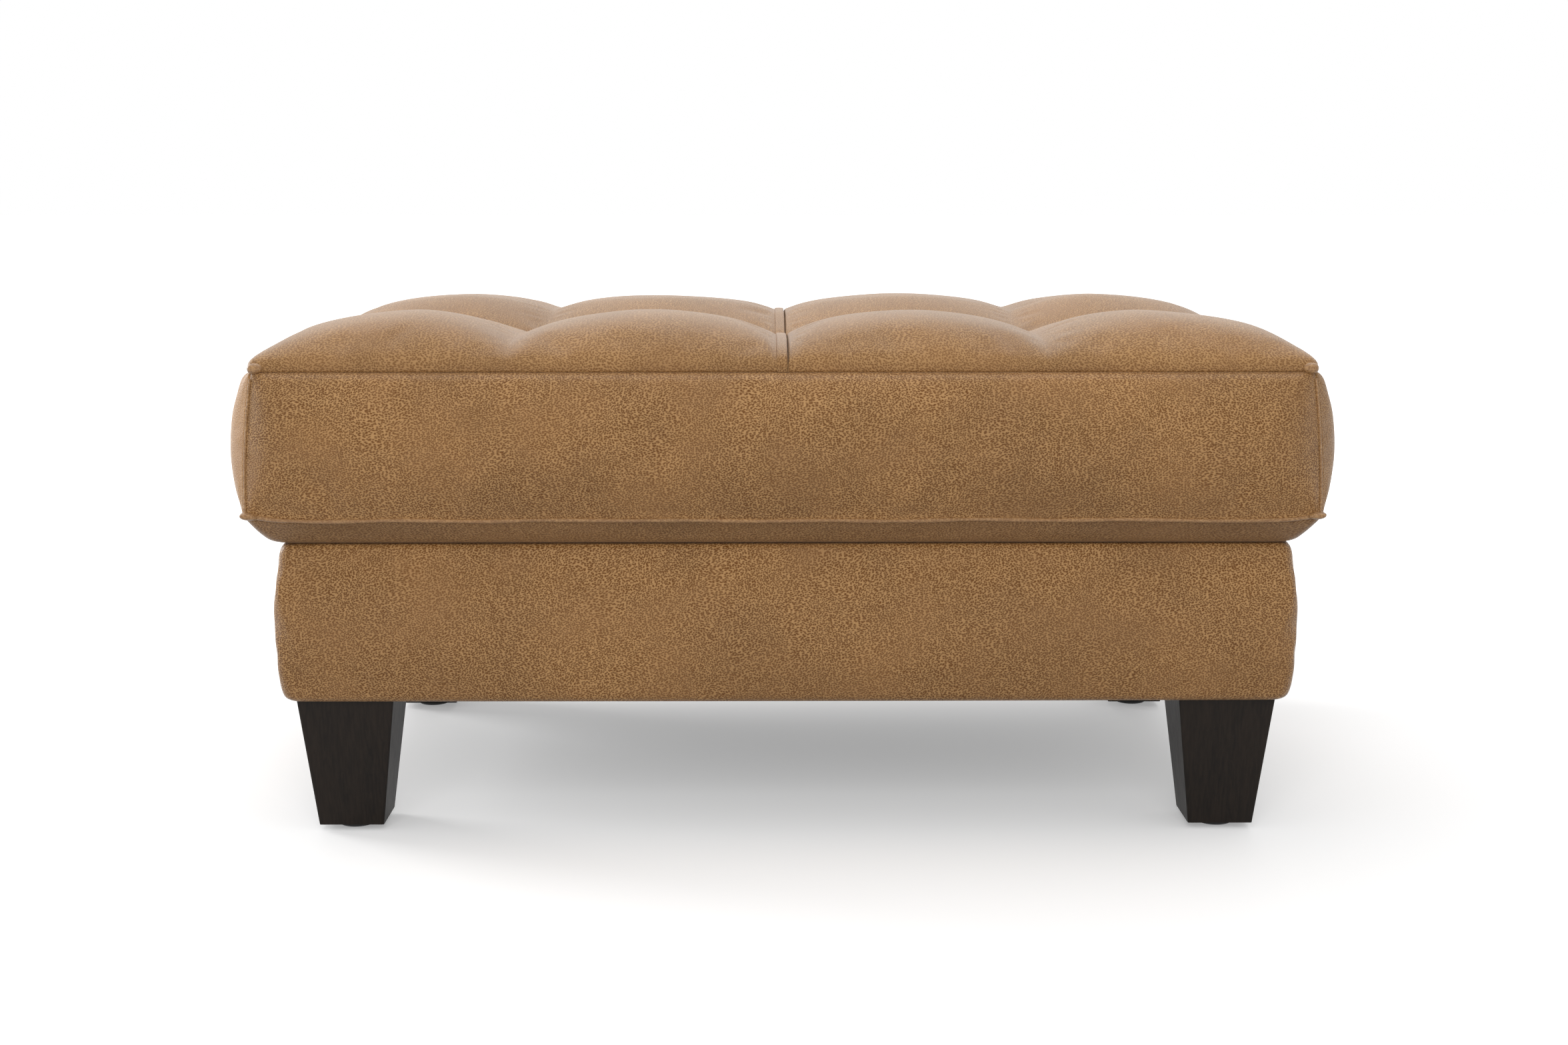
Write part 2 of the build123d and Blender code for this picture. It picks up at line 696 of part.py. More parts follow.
os.makedirs("parts", exist_ok=True)
for node, shape in parts.items():
    solids = shape if isinstance(shape, list) else [shape]
    whole = Compound(children=[solid for piece in solids for solid in piece.solids()])
    export_step(whole, "parts/" + node + ".step")
print(len(parts), "nodes; strut closed", round(strut_length, 1), "stroke", round(stroke, 1))
print("lid opens to", round(lid_open_angle, 1), "degrees")
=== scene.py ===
import json
import math
import bpy
import bmesh
import numpy as np
from mathutils import Euler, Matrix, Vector


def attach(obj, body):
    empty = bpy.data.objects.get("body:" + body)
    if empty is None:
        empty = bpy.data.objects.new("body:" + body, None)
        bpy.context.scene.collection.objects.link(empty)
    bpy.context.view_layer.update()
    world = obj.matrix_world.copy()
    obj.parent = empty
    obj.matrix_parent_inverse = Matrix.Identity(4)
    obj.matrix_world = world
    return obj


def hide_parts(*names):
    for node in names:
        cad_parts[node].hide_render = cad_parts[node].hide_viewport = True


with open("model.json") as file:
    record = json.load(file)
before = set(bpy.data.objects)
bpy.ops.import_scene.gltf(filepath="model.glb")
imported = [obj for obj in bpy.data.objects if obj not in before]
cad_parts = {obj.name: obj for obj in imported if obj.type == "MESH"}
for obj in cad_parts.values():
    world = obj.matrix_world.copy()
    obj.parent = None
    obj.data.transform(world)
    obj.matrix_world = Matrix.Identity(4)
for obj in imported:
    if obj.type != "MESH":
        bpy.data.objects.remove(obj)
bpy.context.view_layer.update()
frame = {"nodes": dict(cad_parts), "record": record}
nodes = frame["nodes"]
print("frame loaded:", len(nodes), "nodes")

# Lengths are metres. The lid's leather follows these sizes, which are the solids' own.
lid = {
    "lowerHalf": (0.510, 0.336), "lowerZ": 0.316, "topHalf": (0.501, 0.327), "topZ": 0.457, "bottomZ": 0.293,
    "seamCorner": 0.008, "bulgeCorner": 0.080, "bulge": (0.0240, 0.0212), "bow": 0.0035,
    "bulgeShares": ((0, 0), (0.065, 0.15), (0.135, 0.40), (0.27, 0.73), (0.40, 0.935), (0.54, 1), (0.68, 0.95),
                    (0.81, 0.765), (0.90, 0.585), (0.955, 0.40), (1, 0)),
    "leather": 0.0015, "cell": 0.0085, "aside": -0.003, "extraLength": 0.02, "calm": 0.03, "drawIn": 0.001,
    "seamRoll": 0.0026, "seamTuck": 0.004, "topSeam": (0.9, 0.43), "lowSeam": (0.94, -0.34),
    "cornerLift": 0.004, "cornerReach": 0.022, "liftFade": 6, "clearOfHinges": (0.26, 0.05),
}
# Pairs are front and back
crown = {
    "rise": (0.0492, 0.0461), "notch": (0.556, 0.678), "crest": (0.2135, 0.125), "turnover": 0.16,
    "valley": 0.257, "sideCrest": 0.3544, "pillowRound": 1.7, "pillowFull": 1.15,
    "side": {"roundness": 1.5, "fullness": 2.68}, "end": {"roundness": 2.359, "fullness": 2.6},
    "rowDip": 0.24, "rowRound": 1.4, "cornerBlend": 0.572,
    "stripFlat": 0.0106, "seamSink": (0.052, 0.048), "seamFull": (0.034, -0.020), "seamFall": 0.005,
    "seamReach": 0.09, "tuftDepth": 0.0030, "tuftReach": 0.016,
    "pleats": 7, "pleatTurn": 9, "pleatHeight": 0.0005, "pleatReach": 0.042,
    "lean": (0.0050, 0.0015), "leanOver": 0.013, "leanReach": 0.02, "drop": 0.0012,
    "lowPillow": {"x": -0.128, "reach": 0.058, "depth": 0.0024, "start": 0.06},
    "skewTurn": 0.15,
    "skew": ((-0.257, 0.085, -0.0030, 0.0008), (0.257, 0.085, -0.0010, 0.0065), (0, 0.10, 0.0040, 0)),
    "seamSteps": (0, 0.0007, 0.0016, 0.0028, 0.0045, 0.007, 0.0095, 0.0115, 0.014, 0.017, 0.021),
    "tuftSteps": (-0.012, -0.007, -0.0035, 0, 0.0035, 0.007, 0.012),
}
band = {
    "tuck": 0.034, "cornerGrowth": 0.2, "swellShare": 1.1, "turnUp": 0.34,
    "shares": ((0, 1), (0.05, 0.74), (0.14, 0.56), (0.3, 0.42), (0.6, 0.24), (1, 0)),
    "levels": (0.985, 0.95, 0.9, 0.82, 0.72, 0.6, 0.48, 0.37, 0.27, 0.18, 0.11, 0.06, 0.025, 0.006, 0),
    "under": (0.0375, 0.0415, 0.046, 0.055, 0.066, 0.0745),
    "sag": 0.0023, "sagBelow": (0.300, 0.006), "sagWithin": (0.046, 0.008),
}
welt = {
    "sink": 0.0004, "rise": 0.0012, "radius": 0.0025, "flatness": 0.9, "segments": 12, "cell": 0.006,
    "cornerFold": 0.0009, "foldInside": (0.004, 0.002), "foldReach": 0.008,
}
base = {
    "half": (0.492, 0.318), "bow": 0.002, "flatBow": 0.0008, "corner": 0.014, "draw": 0.018,
    "bottomZ": 0.1358, "height": 0.1538, "leather": 0.0015, "cell": 0.0085, "drawIn": 0.0008,
    "shares": ((0, 0.58), (0.02, 0.34), (0.05, 0.22), (0.1, 0.13), (0.2, 0.04), (0.35, 0), (0.55, 0), (0.75, 0.10),
               (0.86, 0.23), (0.93, 0.28), (0.975, 0.38), (1, 0.62)),
    "heights": (0, 0.006, 0.015, 0.03, 0.055, 0.09, 0.13, 0.18, 0.24, 0.3, 0.36, 0.42, 0.48, 0.54, 0.6, 0.66, 0.72,
                0.78, 0.83, 0.87, 0.905, 0.935, 0.96, 0.98, 0.992, 1),
    "under": (0.060, 0.048, 0.034, 0.024, 0.0175),
    "rim": ((0.0170, 1), (0.0205, 1), (0.025, 1), (0.030, 1), (0.0352, 1), (0.036, 0.997), (0.036, 0.992)),
    "rimCorner": 0.12, "rimSharpens": 0.02, "rimPuff": 0.0014, "puffFrom": (0.965, 0.035), "puffTo": (0.029, 0.008),
}
# How the soft panels swell: what holds them, how far they may go and the cloth itself
puff = {
    "frames": 20, "cap": {"crown": 0.0035, "boxing": 0.003, "base": 0.0022},
    "seam": 0.009, "tuft": 0.016, "strip": 0.016, "crease": 0.012, "creaseHold": 0.75, "end": 0.012,
    "free": (1.6, 0.35),
    "cloth": {
        "quality": 5, "mass": 0.3, "tension_stiffness": 14.0, "compression_stiffness": 14.0, "shear_stiffness": 7.0,
        "bending_stiffness": 2.5, "use_pressure": True, "uniform_pressure_force": 4.0, "shrink_min": -0.012,
        "vertex_group_mass": "pin", "pin_stiffness": 4,
    },
}
# Unevenness: height, seed and size of the waves
waves = {
    "crown": (0.0007, 4, 0.12), "seam": (0.0007, 11, 0.09), "boxing": (0.0006, 7, 0.14), "band": (0.0009, 5, 0.11),
    "welt": (0.00026, 3, 0.045), "base": (0.0006, 9, 0.16), "well": (0.5, 2, 0.15), "wellFloor": (1, 8, 0.2),
}
quarterTurns = {"front": 0, "right": 1, "back": 2, "left": 3}
corners = ((-1, -1), (1, -1), (1, 1), (-1, 1))


# Curves and grids
def near(distance, reach):
    return np.exp(-(distance / reach) ** 2)


def fade(value, end, width):
    return np.clip((end - value) / width, 0, 1)


def blend(pair, share):
    return pair[0] + (pair[1] - pair[0]) * share


def smoothCurve(pairs, t):
    x, y = np.array(pairs, float).T
    h = np.diff(x)
    d = np.diff(y) / h
    m = np.zeros(len(x))
    m[0], m[-1] = d[0], d[-1]
    for k in range(1, len(x) - 1):
        if d[k - 1] * d[k] > 0:
            first, second = 2 * h[k] + h[k - 1], h[k] + 2 * h[k - 1]
            m[k] = (first + second) / (first / d[k - 1] + second / d[k])
    i = np.clip(np.searchsorted(x, t, side="right") - 1, 0, len(x) - 2)
    s = (t - x[i]) / h[i]
    return ((2 * s**3 - 3 * s**2 + 1) * y[i] + (s**3 - 2 * s**2 + s) * h[i] * m[i]
            + (3 * s**2 - 2 * s**3) * y[i + 1] + (s**3 - s**2) * h[i] * m[i + 1])


def lengthsAlong(points):
    return np.concatenate([[0], np.cumsum(np.linalg.norm(np.diff(points, axis=0), axis=1))])


def spaced(length, cell, fineEnds=(True, True)):
    fine = [0, 0.0007, 0.0016, 0.0028, 0.0045, 0.0070, 0.0110]
    start = fine if fineEnds[0] else [0]
    end = [length - v for v in reversed(fine)] if fineEnds[1] else [length]
    count = max(2, round((end[0] - start[-1]) / cell))
    return np.array(start + list(np.linspace(start[-1], end[0], count + 1)[1:-1]) + end)


def between(start, end, cell):
    return np.linspace(start, end, max(2, round(abs(end - start) / cell)) + 1)[1:-1]


def rollIn(distance, roll):
    q = np.clip(1 - distance / roll, 0, 1)
    return roll * (1 - np.sqrt(1 - q * q))


def wave(x, y, kind):
    # slow waves with no order to them
    height, seed, size = waves[kind]
    rng = np.random.default_rng(seed)
    total = np.zeros_like(x)
    for _ in range(7):
        angle, phase = rng.uniform(0, 2 * math.pi, 2)
        k = 2 * math.pi / (size * rng.uniform(0.6, 1.7))
        total = total + np.sin(k * (x * math.cos(angle) + y * math.sin(angle)) + phase)
    return height * total / 3.2


def sidePath(side, halfX, halfY, corner, bow, shares):
    # one side of a rounded rectangle between the middles of its corners, laid as the front and turned to its place
    turns = quarterTurns[side]
    a, b = (halfX, halfY) if turns % 2 == 0 else (halfY, halfX)
    arc = np.linspace(0, math.pi / 4, 25)
    run = np.linspace(-1, 1, 81)[1:-1] * (a - corner)
    x = np.concatenate([corner - a - corner * np.sin(arc[::-1]), run, a - corner + corner * np.sin(arc)])
    y = np.concatenate([corner - b - corner * np.cos(arc[::-1]), -b - bow * (1 - (run / (a - corner)) ** 2),
                        corner - b - corner * np.cos(arc)])
    length = lengthsAlong(np.stack([x, y], -1))
    at = shares * length[-1]
    px, py = np.interp(at, length, x), np.interp(at, length, y)
    nx, ny = np.interp(at, length, np.gradient(y, length)), -np.interp(at, length, np.gradient(x, length))
    size = np.hypot(nx, ny)
    nx, ny = nx / size, ny / size
    for _ in range(turns):
        px, py, nx, ny = -py, px, -ny, nx
    return np.stack([px, py], -1), np.stack([nx, ny], -1)


def sideLength(side, half):
    return 2 * half[quarterTurns[side] % 2]


def ringShares(half, cell, sides=tuple(quarterTurns)):
    return {side: spaced(sideLength(side, half), cell) / sideLength(side, half) for side in sides}


def ringRow(half, inward, corner, shares, bow=0):
    # the sides in turn, each without its last point where another follows
    parts = []
    for side, share in shares.items():
        both = np.concatenate(sidePath(side, half[0] - inward, half[1] - inward, corner, bow, share), 1)
        whole = len(shares) < 4 and side == list(shares)[-1]
        parts.append(both if whole else both[:-1])
    both = np.concatenate(parts)
    return both[:, :2], both[:, 2:]


def raised(path, z):
    return np.column_stack([path, z + 0 * path[:, 0]])


def newObject(name, data):
    made = bpy.data.objects.new(name, data)
    bpy.context.scene.collection.objects.link(made)
    return made


def smoothFaces(mesh):
    mesh.polygons.foreach_set("use_smooth", [True] * len(mesh.polygons))


def readPoints(mesh):
    co = np.zeros(len(mesh.vertices) * 3)
    mesh.vertices.foreach_get("co", co)
    return co.reshape(-1, 3)


def writePoints(mesh, points):
    mesh.vertices.foreach_set("co", points.reshape(-1))
    mesh.update()


def layHide(mesh, points, closed):
    # the piece's own UV map: metres along its rows and columns, as the hide was cut
    rows, cols = points.shape[:2]
    middleRow = points[rows // 2]
    along = lengthsAlong(np.concatenate([middleRow, middleRow[:1]]) if closed else middleRow)
    up = lengthsAlong(points[:, cols // 2])
    corner = np.zeros(len(mesh.loops), int)
    mesh.loops.foreach_get("vertex_index", corner)
    row, col = corner // cols, corner % cols
    if closed:  # the last faces end one column on, not back at the first
        quads = col.reshape(-1, 4)
        wraps = (quads == 0).any(1) & (quads == cols - 1).any(1)
        quads[wraps] = np.where(quads[wraps] == 0, cols, quads[wraps])
        col = quads.reshape(-1)
    layer = mesh.uv_layers.new(name="hide")
    layer.data.foreach_set("uv", np.stack([along[col], up[row]], -1).astype(np.float32).reshape(-1))


def gridFaces(rows, cols, closed):
    index = np.arange(rows * cols).reshape(rows, cols)
    right = np.roll(index, -1, 1) if closed else index[:, 1:]
    left = index if closed else index[:, :-1]
    return np.stack([left[:-1], right[:-1], right[1:], left[1:]], -1).reshape(-1, 4)


def gridObject(name, points, closed=False, outward=None):
    faces = gridFaces(*points.shape[:2], closed)
    flat = points.reshape(-1, 3)
    if outward is not None:
        p = flat[faces]
        n = np.cross(p[:, 2] - p[:, 0], p[:, 3] - p[:, 1])
        if (n * (p.mean(1) - np.array(outward))).sum() < 0:
            faces = faces[:, ::-1]
    mesh = bpy.data.meshes.new(name)
    mesh.from_pydata(flat.tolist(), [], faces.tolist())
    smoothFaces(mesh)
    mesh.update()
    layHide(mesh, points, closed)
    return newObject(name, mesh)


def modify(made, kind, **settings):
    modifier = made.modifiers.new(kind.lower(), kind)
    for key, value in settings.items():
        setattr(modifier, key, value)
    return modifier


def applyModifiers(made, smooth=True):
    graph = bpy.context.evaluated_depsgraph_get()
    mesh = bpy.data.meshes.new_from_object(made.evaluated_get(graph))
    made.modifiers.clear()
    old, made.data = made.data, mesh
    mesh.name = made.name
    bpy.data.meshes.remove(old)
    if smooth:
        smoothFaces(mesh)
    return made


def weld(made, distance=1e-5, fill=False):
    work = bmesh.new()
    work.from_mesh(made.data)
    bmesh.ops.remove_doubles(work, verts=work.verts, dist=distance)
    if fill:
        bmesh.ops.holes_fill(work, edges=[e for e in work.edges if e.is_boundary], sides=0)
    bmesh.ops.recalc_face_normals(work, faces=work.faces)
    work.to_mesh(made.data)
    work.free()
    return made


def leatherPiece(name, points, thickness, outward, closed=False):
    made = gridObject(name, points, closed, outward)
    modify(made, "SUBSURF", levels=1, render_levels=1)
    modify(made, "SOLIDIFY", thickness=thickness, offset=-1, use_even_offset=False)
    return applyModifiers(made)


def slanted(out, flat, up):
    # directions that point out and up by these shares
    return np.concatenate([flat * out, np.full_like(out[..., :1], up)], -1)


def padRows(grid):
    return np.pad(grid, ((1, 1), (0, 0), (0, 0)), "edge")


def tuckEnds(points, starts, ends, axis):
    # a last row or column goes down inside each seam
    first = points.take([0], axis) - lid["seamTuck"] * starts.take([0], axis)
    last = points.take([-1], axis) - lid["seamTuck"] * ends.take([-1], axis)
    return np.concatenate([first, points, last], axis)


# Cloth: every soft panel swells at the same time
def swell(panels):
    moved = {name: np.zeros_like(p["points"]) for name, p in panels.items()}
    scene = bpy.context.scene
    trial = {}
    for name, panel in panels.items():
        made = gridObject("trial_" + name, panel["points"], outward=panel["outward"])
        pin = made.vertex_groups.new(name="pin")
        for i, weight in enumerate(panel["pin"].reshape(-1)):
            pin.add([i], float(weight), "REPLACE")
        cloth = modify(made, "CLOTH")
        for key, value in puff["cloth"].items():
            setattr(cloth.settings, key, value)
        cloth.settings.effector_weights.gravity = 0
        cloth.collision_settings.use_self_collision = False
        trial[name] = made
    for number in range(1, puff["frames"] + 1):
        scene.frame_set(number)
    graph = bpy.context.evaluated_depsgraph_get()
    for name, made in trial.items():
        now = readPoints(made.evaluated_get(graph).data)
        shift = now.reshape(moved[name].shape) - panels[name]["points"]
        size = np.linalg.norm(shift, axis=-1, keepdims=True)
        cap = panels[name]["cap"]
        moved[name] = shift * (cap * np.tanh(size / cap) / np.maximum(size, 1e-9))
        print("swelled", name, "by up to", round(float(size.max()) * 1000, 1), "mm, mean",
              round(float(size.mean()) * 1000, 1), "mm")
    scene.frame_set(1)
    for made in trial.values():
        mesh = made.data
        bpy.data.objects.remove(made)
        bpy.data.meshes.remove(mesh)
    return moved


# The crown of the lid
def edgeRise(distance, reach, roundness, fullness):
    return (1 - np.clip(1 - distance / reach, 0, 1) ** roundness) ** (1 / fullness)


def pillow(share, notch):
    rise = (1 - np.abs(1 - share) ** crown["pillowRound"]) ** (1 / crown["pillowFull"])
    return notch + (1 - notch) * rise


def crownRise(x, y):
    c = crown
    halfX, halfY = lid["topHalf"]
    ax, ay = np.abs(x), np.abs(y)
    backward = 0.5 + 0.5 * np.clip(y / c["turnover"], -1, 1)
    notch, sink, full = [blend(c[key], backward) for key in ("notch", "seamSink", "seamFull")]
    flat = np.where(x < 0, c["stripFlat"], 0.0)  # the strip lies flat to the left of the centre seam
    beside = np.maximum(ax - flat, 0)
    fall = np.exp(-beside / c["seamFall"])
    inner = pillow(2 * np.clip(beside / (c["valley"] - flat), 0, 1), notch)
    inner = inner - sink * fall + full * (1 - fall) * near(beside, c["seamReach"])
    outer = pillow(np.clip((ax - c["valley"]) / (c["sideCrest"] - c["valley"]), 0, 1), notch)
    end = edgeRise(halfX - ax, halfX - c["sideCrest"], **c["side"])
    across = np.where(ax < c["valley"], inner, np.where(ax < c["sideCrest"], outer, end))
    crest = np.where(y < 0, *c["crest"])
    row = c["rowDip"] + (1 - c["rowDip"]) * (1 - np.abs(1 - np.minimum(ay / crest, 1)) ** c["rowRound"])
    along = np.where(ay < crest, row, edgeRise(halfY - ay, halfY - crest, **c["end"]))
    w = c["cornerBlend"]
    both = np.clip(across, 1e-5, 1) ** -w + np.clip(along, 1e-5, 1) ** -w - 1
    rise = np.where(y < 0, *c["rise"]) * np.clip(both, 1, None) ** (-1 / w)
    for tuftX in (-c["valley"], 0, c["valley"]):
        away, turn = np.hypot(x - tuftX, y), np.arctan2(y, x - tuftX)
        fold = np.cos(c["pleats"] * turn + tuftX * c["pleatTurn"]) * (away / c["pleatReach"])
        rise = rise - c["tuftDepth"] * near(away, c["tuftReach"])
        rise = rise + c["pleatHeight"] * fold * near(away, c["pleatReach"])
    return rise


def endSteps(half, crest, shape, rise):
    # places from the outline to the crest, evenly spaced along the leather's rise
    d = (half - crest) * np.linspace(0, 1, 4000) ** 3
    steps = lengthsAlong(np.stack([d, edgeRise(d, half - crest, **crown[shape]) * rise], -1))
    return np.interp(spaced(steps[-1], lid["cell"], (True, False)), steps, d)


def rowEnds():
    return [endSteps(lid["topHalf"][1], crest, "end", rise) for crest, rise in zip(crown["crest"], crown["rise"])]


def crownAxes():
    c, cell = crown, lid["cell"]
    halfX, halfY = lid["topHalf"]
    side = endSteps(halfX, c["sideCrest"], "side", c["rise"][0])
    front, back = rowEnds()
    seam, tuft = c["seamSteps"], np.array(c["tuftSteps"])
    atTuft = c["valley"] + tuft
    xs = [seam, between(seam[-1], atTuft[0], cell), atTuft, between(atTuft[-1], c["sideCrest"], cell),
          halfX - side[::-1]]
    ys = [front - halfY, between(-c["crest"][0], tuft[0], cell), tuft, between(tuft[-1], c["crest"][1], cell),
          halfY - back[::-1]]
    return np.concatenate(xs), np.concatenate(ys)


def crownSurface(x, y):
    # squares of the grid at the corners are bent to a quarter circle
    corner = lid["seamCorner"]
    halfX, halfY = lid["topHalf"]
    u = np.clip((np.abs(x) - (halfX - corner)) / corner, 0, 1)
    v = np.clip((np.abs(y) - (halfY - corner)) / corner, 0, 1)
    bent = (u > 0) & (v > 0)
    newX = np.where(bent, np.sign(x) * (halfX - corner + corner * (u * np.sqrt(1 - v * v / 2))), x)
    newY = np.where(bent, np.sign(y) * (halfY - corner + corner * (v * np.sqrt(1 - u * u / 2))), y)
    outX = np.where(v > 0, u, np.where(u > 0, 1.0, 0.0))
    outY = np.where(u > 0, v, np.where(v > 0, 1.0, 0.0))
    size = np.maximum(np.hypot(outX, outY), 1e-9)
    points = np.stack([newX, newY, lid["topZ"] + crownRise(x, y)], -1)
    return points, np.stack([np.sign(x) * outX / size, np.sign(y) * outY / size], -1)


def crownPanel(side):
    xs, ys = crownAxes()
    x, y = np.meshgrid(side * xs, ys)
    points, out = crownSurface(x, y)
    seam = np.abs(x)
    inward = np.minimum(lid["topHalf"][0] - seam, lid["topHalf"][1] - np.abs(y))
    edge = np.hypot(inward, points[..., 2] - lid["topZ"])
    crease = np.minimum(np.abs(seam - crown["valley"]), np.abs(y))
    hold = np.maximum(near(np.minimum(edge, seam), puff["seam"]), puff["creaseHold"] * near(crease, puff["crease"]))
    for tuftX in (0, side * crown["valley"]):
        hold = np.maximum(hold, near(np.hypot(x - tuftX, y), puff["tuft"]))
    hold = np.maximum(hold, np.where((side < 0) & (seam < puff["strip"]), 1, 0))
    return {"points": points, "pin": np.clip(hold, 0, 1), "cap": puff["cap"]["crown"], "outward": (0, 0, 0.3),
            "x": x, "y": y, "edge": edge, "seam": seam, "out": out}


def skew(x, y):
    # no two tufts of a real lid sit quite in line
    turn = np.clip(y / crown["skewTurn"], -1, 1)
    return sum((shift + twist * turn) * near(x - at, reach) for at, reach, shift, twist in crown["skew"])


def standOut(edge, inward):
    # the crown stands out over its seam
    q = edge / crown["leanOver"]
    return q ** 2 * np.exp(1 - q ** 2) * near(inward, crown["leanReach"])


def finishCrown(name, panel, shift):
    c, roll = crown, lid["seamRoll"]
    x, y, edge, seam = [panel[key] for key in ("x", "y", "edge", "seam")]
    points = panel["points"] + shift
    for axis, at in ((0, x), (1, y)):
        inward = lid["topHalf"][axis] - np.abs(at)
        points[..., axis] += c["lean"][axis] * np.sign(at) * standOut(edge, inward)
    points[..., 0] += skew(x, y)
    calm = 1 - near(np.minimum(edge, seam), lid["calm"])
    one = c["lowPillow"]  # it is filled a little less
    low = near(x - one["x"], one["reach"]) * np.clip(y / one["start"], 0, 1)
    points[..., 2] += wave(x, y, "crown") * calm - c["drop"] - one["depth"] * low
    up, down = slanted(panel["out"], *lid["topSeam"]), slanted(panel["out"], 0, 1)
    points = points - rollIn(edge, roll)[..., None] * up - rollIn(seam, roll)[..., None] * down
    points = tuckEnds(tuckEnds(points, up, up, 0), padRows(down), padRows(up), 1)
    return leatherPiece(name, points, lid["leather"], panel["outward"])


# The four sides of the lid
def seamLift(x, y):
    # the lower seam rises to its four corners and waves a little on its way
    corner = np.hypot(lid["lowerHalf"][0] - np.abs(x), lid["lowerHalf"][1] - np.abs(y))
    return lid["cornerLift"] * near(corner, lid["cornerReach"]) + wave(x, y, "seam")


def boxingRing(h):
    # half sizes, corner radius and bulge at a share of the height
    bulge = float(smoothCurve(lid["bulgeShares"], h))
    halfX, halfY = [blend(pair, h) + out * bulge for *pair, out in zip(lid["lowerHalf"], lid["topHalf"], lid["bulge"])]
    return halfX, halfY, blend((lid["seamCorner"], lid["bulgeCorner"]), bulge), bulge


def boxingPanel(side):
    height = lid["topZ"] - lid["lowerZ"]
    longest = sideLength(side, lid["lowerHalf"]) + lid["extraLength"]
    ups, along = spaced(height, lid["cell"]), spaced(longest, lid["cell"])
    points, out = [], []
    for up in ups:
        h = up / height
        halfX, halfY, corner, bulge = boxingRing(h)
        path, normal = sidePath(side, halfX, halfY, corner, lid["bow"] * bulge, along / longest)
        points.append(raised(path, lid["lowerZ"] + up + seamLift(*path.T) * (1 - h) ** lid["liftFade"]))
        out.append(normal)
    low, ends = np.meshgrid(ups, np.minimum(along, longest - along), indexing="ij")
    edge = np.minimum(np.minimum(low, height - low), ends)
    return {"points": np.array(points), "pin": near(edge, puff["seam"]), "cap": puff["cap"]["boxing"],
            "outward": (0, 0, 0.38), "low": low, "high": height - low, "ends": ends, "out": np.array(out), "edge": edge}


def finishBoxing(name, panel, shift):
    points, out, roll = panel["points"] + shift, panel["out"], lid["seamRoll"]
    calm = 1 - near(panel["edge"], lid["calm"])
    ripple = wave(points[..., 0] + points[..., 1], points[..., 2], "boxing")
    points[..., :2] += ((ripple - lid["drawIn"]) * calm)[..., None] * out
    top, low, flat = slanted(out, *lid["topSeam"]), slanted(out, *lid["lowSeam"]), slanted(out, 1, 0)
    for key, way in (("high", top), ("low", low), ("ends", flat)):
        points = points - rollIn(panel[key], roll)[..., None] * way
    points = tuckEnds(tuckEnds(points, low, top, 0), padRows(flat), padRows(flat), 1)
    return leatherPiece(name, points, lid["leather"], panel["outward"])


def makeBand():
    # the band under the seam, tucked below the board
    half, roll = lid["lowerHalf"], lid["seamRoll"]
    height = lid["lowerZ"] - lid["bottomZ"]
    shares = ringShares(half, lid["cell"])
    levels = [(1, roll + lid["seamTuck"]), (1, roll)]
    levels += [(share, float(rollIn((1 - share) * height, roll))) for share in band["levels"]]
    rows = []
    for share, inward in levels:
        tuck = float(smoothCurve(band["shares"], share)) * band["tuck"]
        path, normal = ringRow(half, tuck, lid["seamCorner"] + tuck * band["cornerGrowth"], shares)
        x, y = path.T
        out = wave(x + y, x - y, "band") * math.sin(math.pi * min(1, share * band["swellShare"])) - inward
        z = lid["bottomZ"] + height * share + seamLift(x, y) * share ** 2 + band["turnUp"] * inward
        rows.append(raised(path + out[:, None] * normal, z))
    rows += [raised(ringRow(half, inner, lid["seamCorner"], shares)[0], lid["bottomZ"]) for inner in band["under"]]
    rows = np.array(rows)
    x, y, z = np.moveaxis(rows, -1, 0)
    inward = np.minimum(half[0] - np.abs(x), half[1] - np.abs(y))
    under = fade(z, *band["sagBelow"]) * fade(inward, *band["sagWithin"])
    rows[..., 2] -= band["sag"] * under * fade(y, *lid["clearOfHinges"])
    return leatherPiece("lowerBand", rows, lid["leather"], (0, 0, 0.315), closed=True)


def makeWelt():
    # the folded seam edge that runs round above the band
    half = [v - welt["sink"] for v in lid["lowerHalf"]]
    path, normal = ringRow(half, 0, lid["seamCorner"], ringShares(half, welt["cell"]))
    x, y = path.T
    z = lid["lowerZ"] + welt["rise"] + seamLift(x, y)
    insideX, insideY = welt["foldInside"]
    away = np.hypot(half[0] - insideX - np.abs(x), half[1] - insideY - np.abs(y))
    radii = welt["radius"] + wave(x, y, "welt") + welt["cornerFold"] * near(away, welt["foldReach"])
    rows = []
    for k in range(welt["segments"] + 1):
        turn = 2 * math.pi * (k % welt["segments"]) / welt["segments"]
        ring = path + (radii * math.cos(turn))[:, None] * normal
        rows.append(raised(ring, z + welt["flatness"] * radii * math.sin(turn)))
    return weld(gridObject("lowerWelt", np.array(rows), closed=True))


# Folded leather tips where the seams meet at the corners
tips = {
    "rings": 10, "segments": 14, "fullness": (2.4, 0.45),
    "top": {"half": (0.501, 0.3285), "z": 0.4594, "inside": 0.0074, "reach": 0.0078, "wide": 0.0064, "tall": 0.0056,
            "curl": 0.0, "lie": (0.92, 0.39)},
    "low": {"half": (0.510, 0.3385), "z": 0.3212, "inside": 0.0074, "reach": 0.0088, "wide": 0.0058, "tall": 0.0036,
            "curl": 0.0008, "lie": (0.99, 0.14)},
}


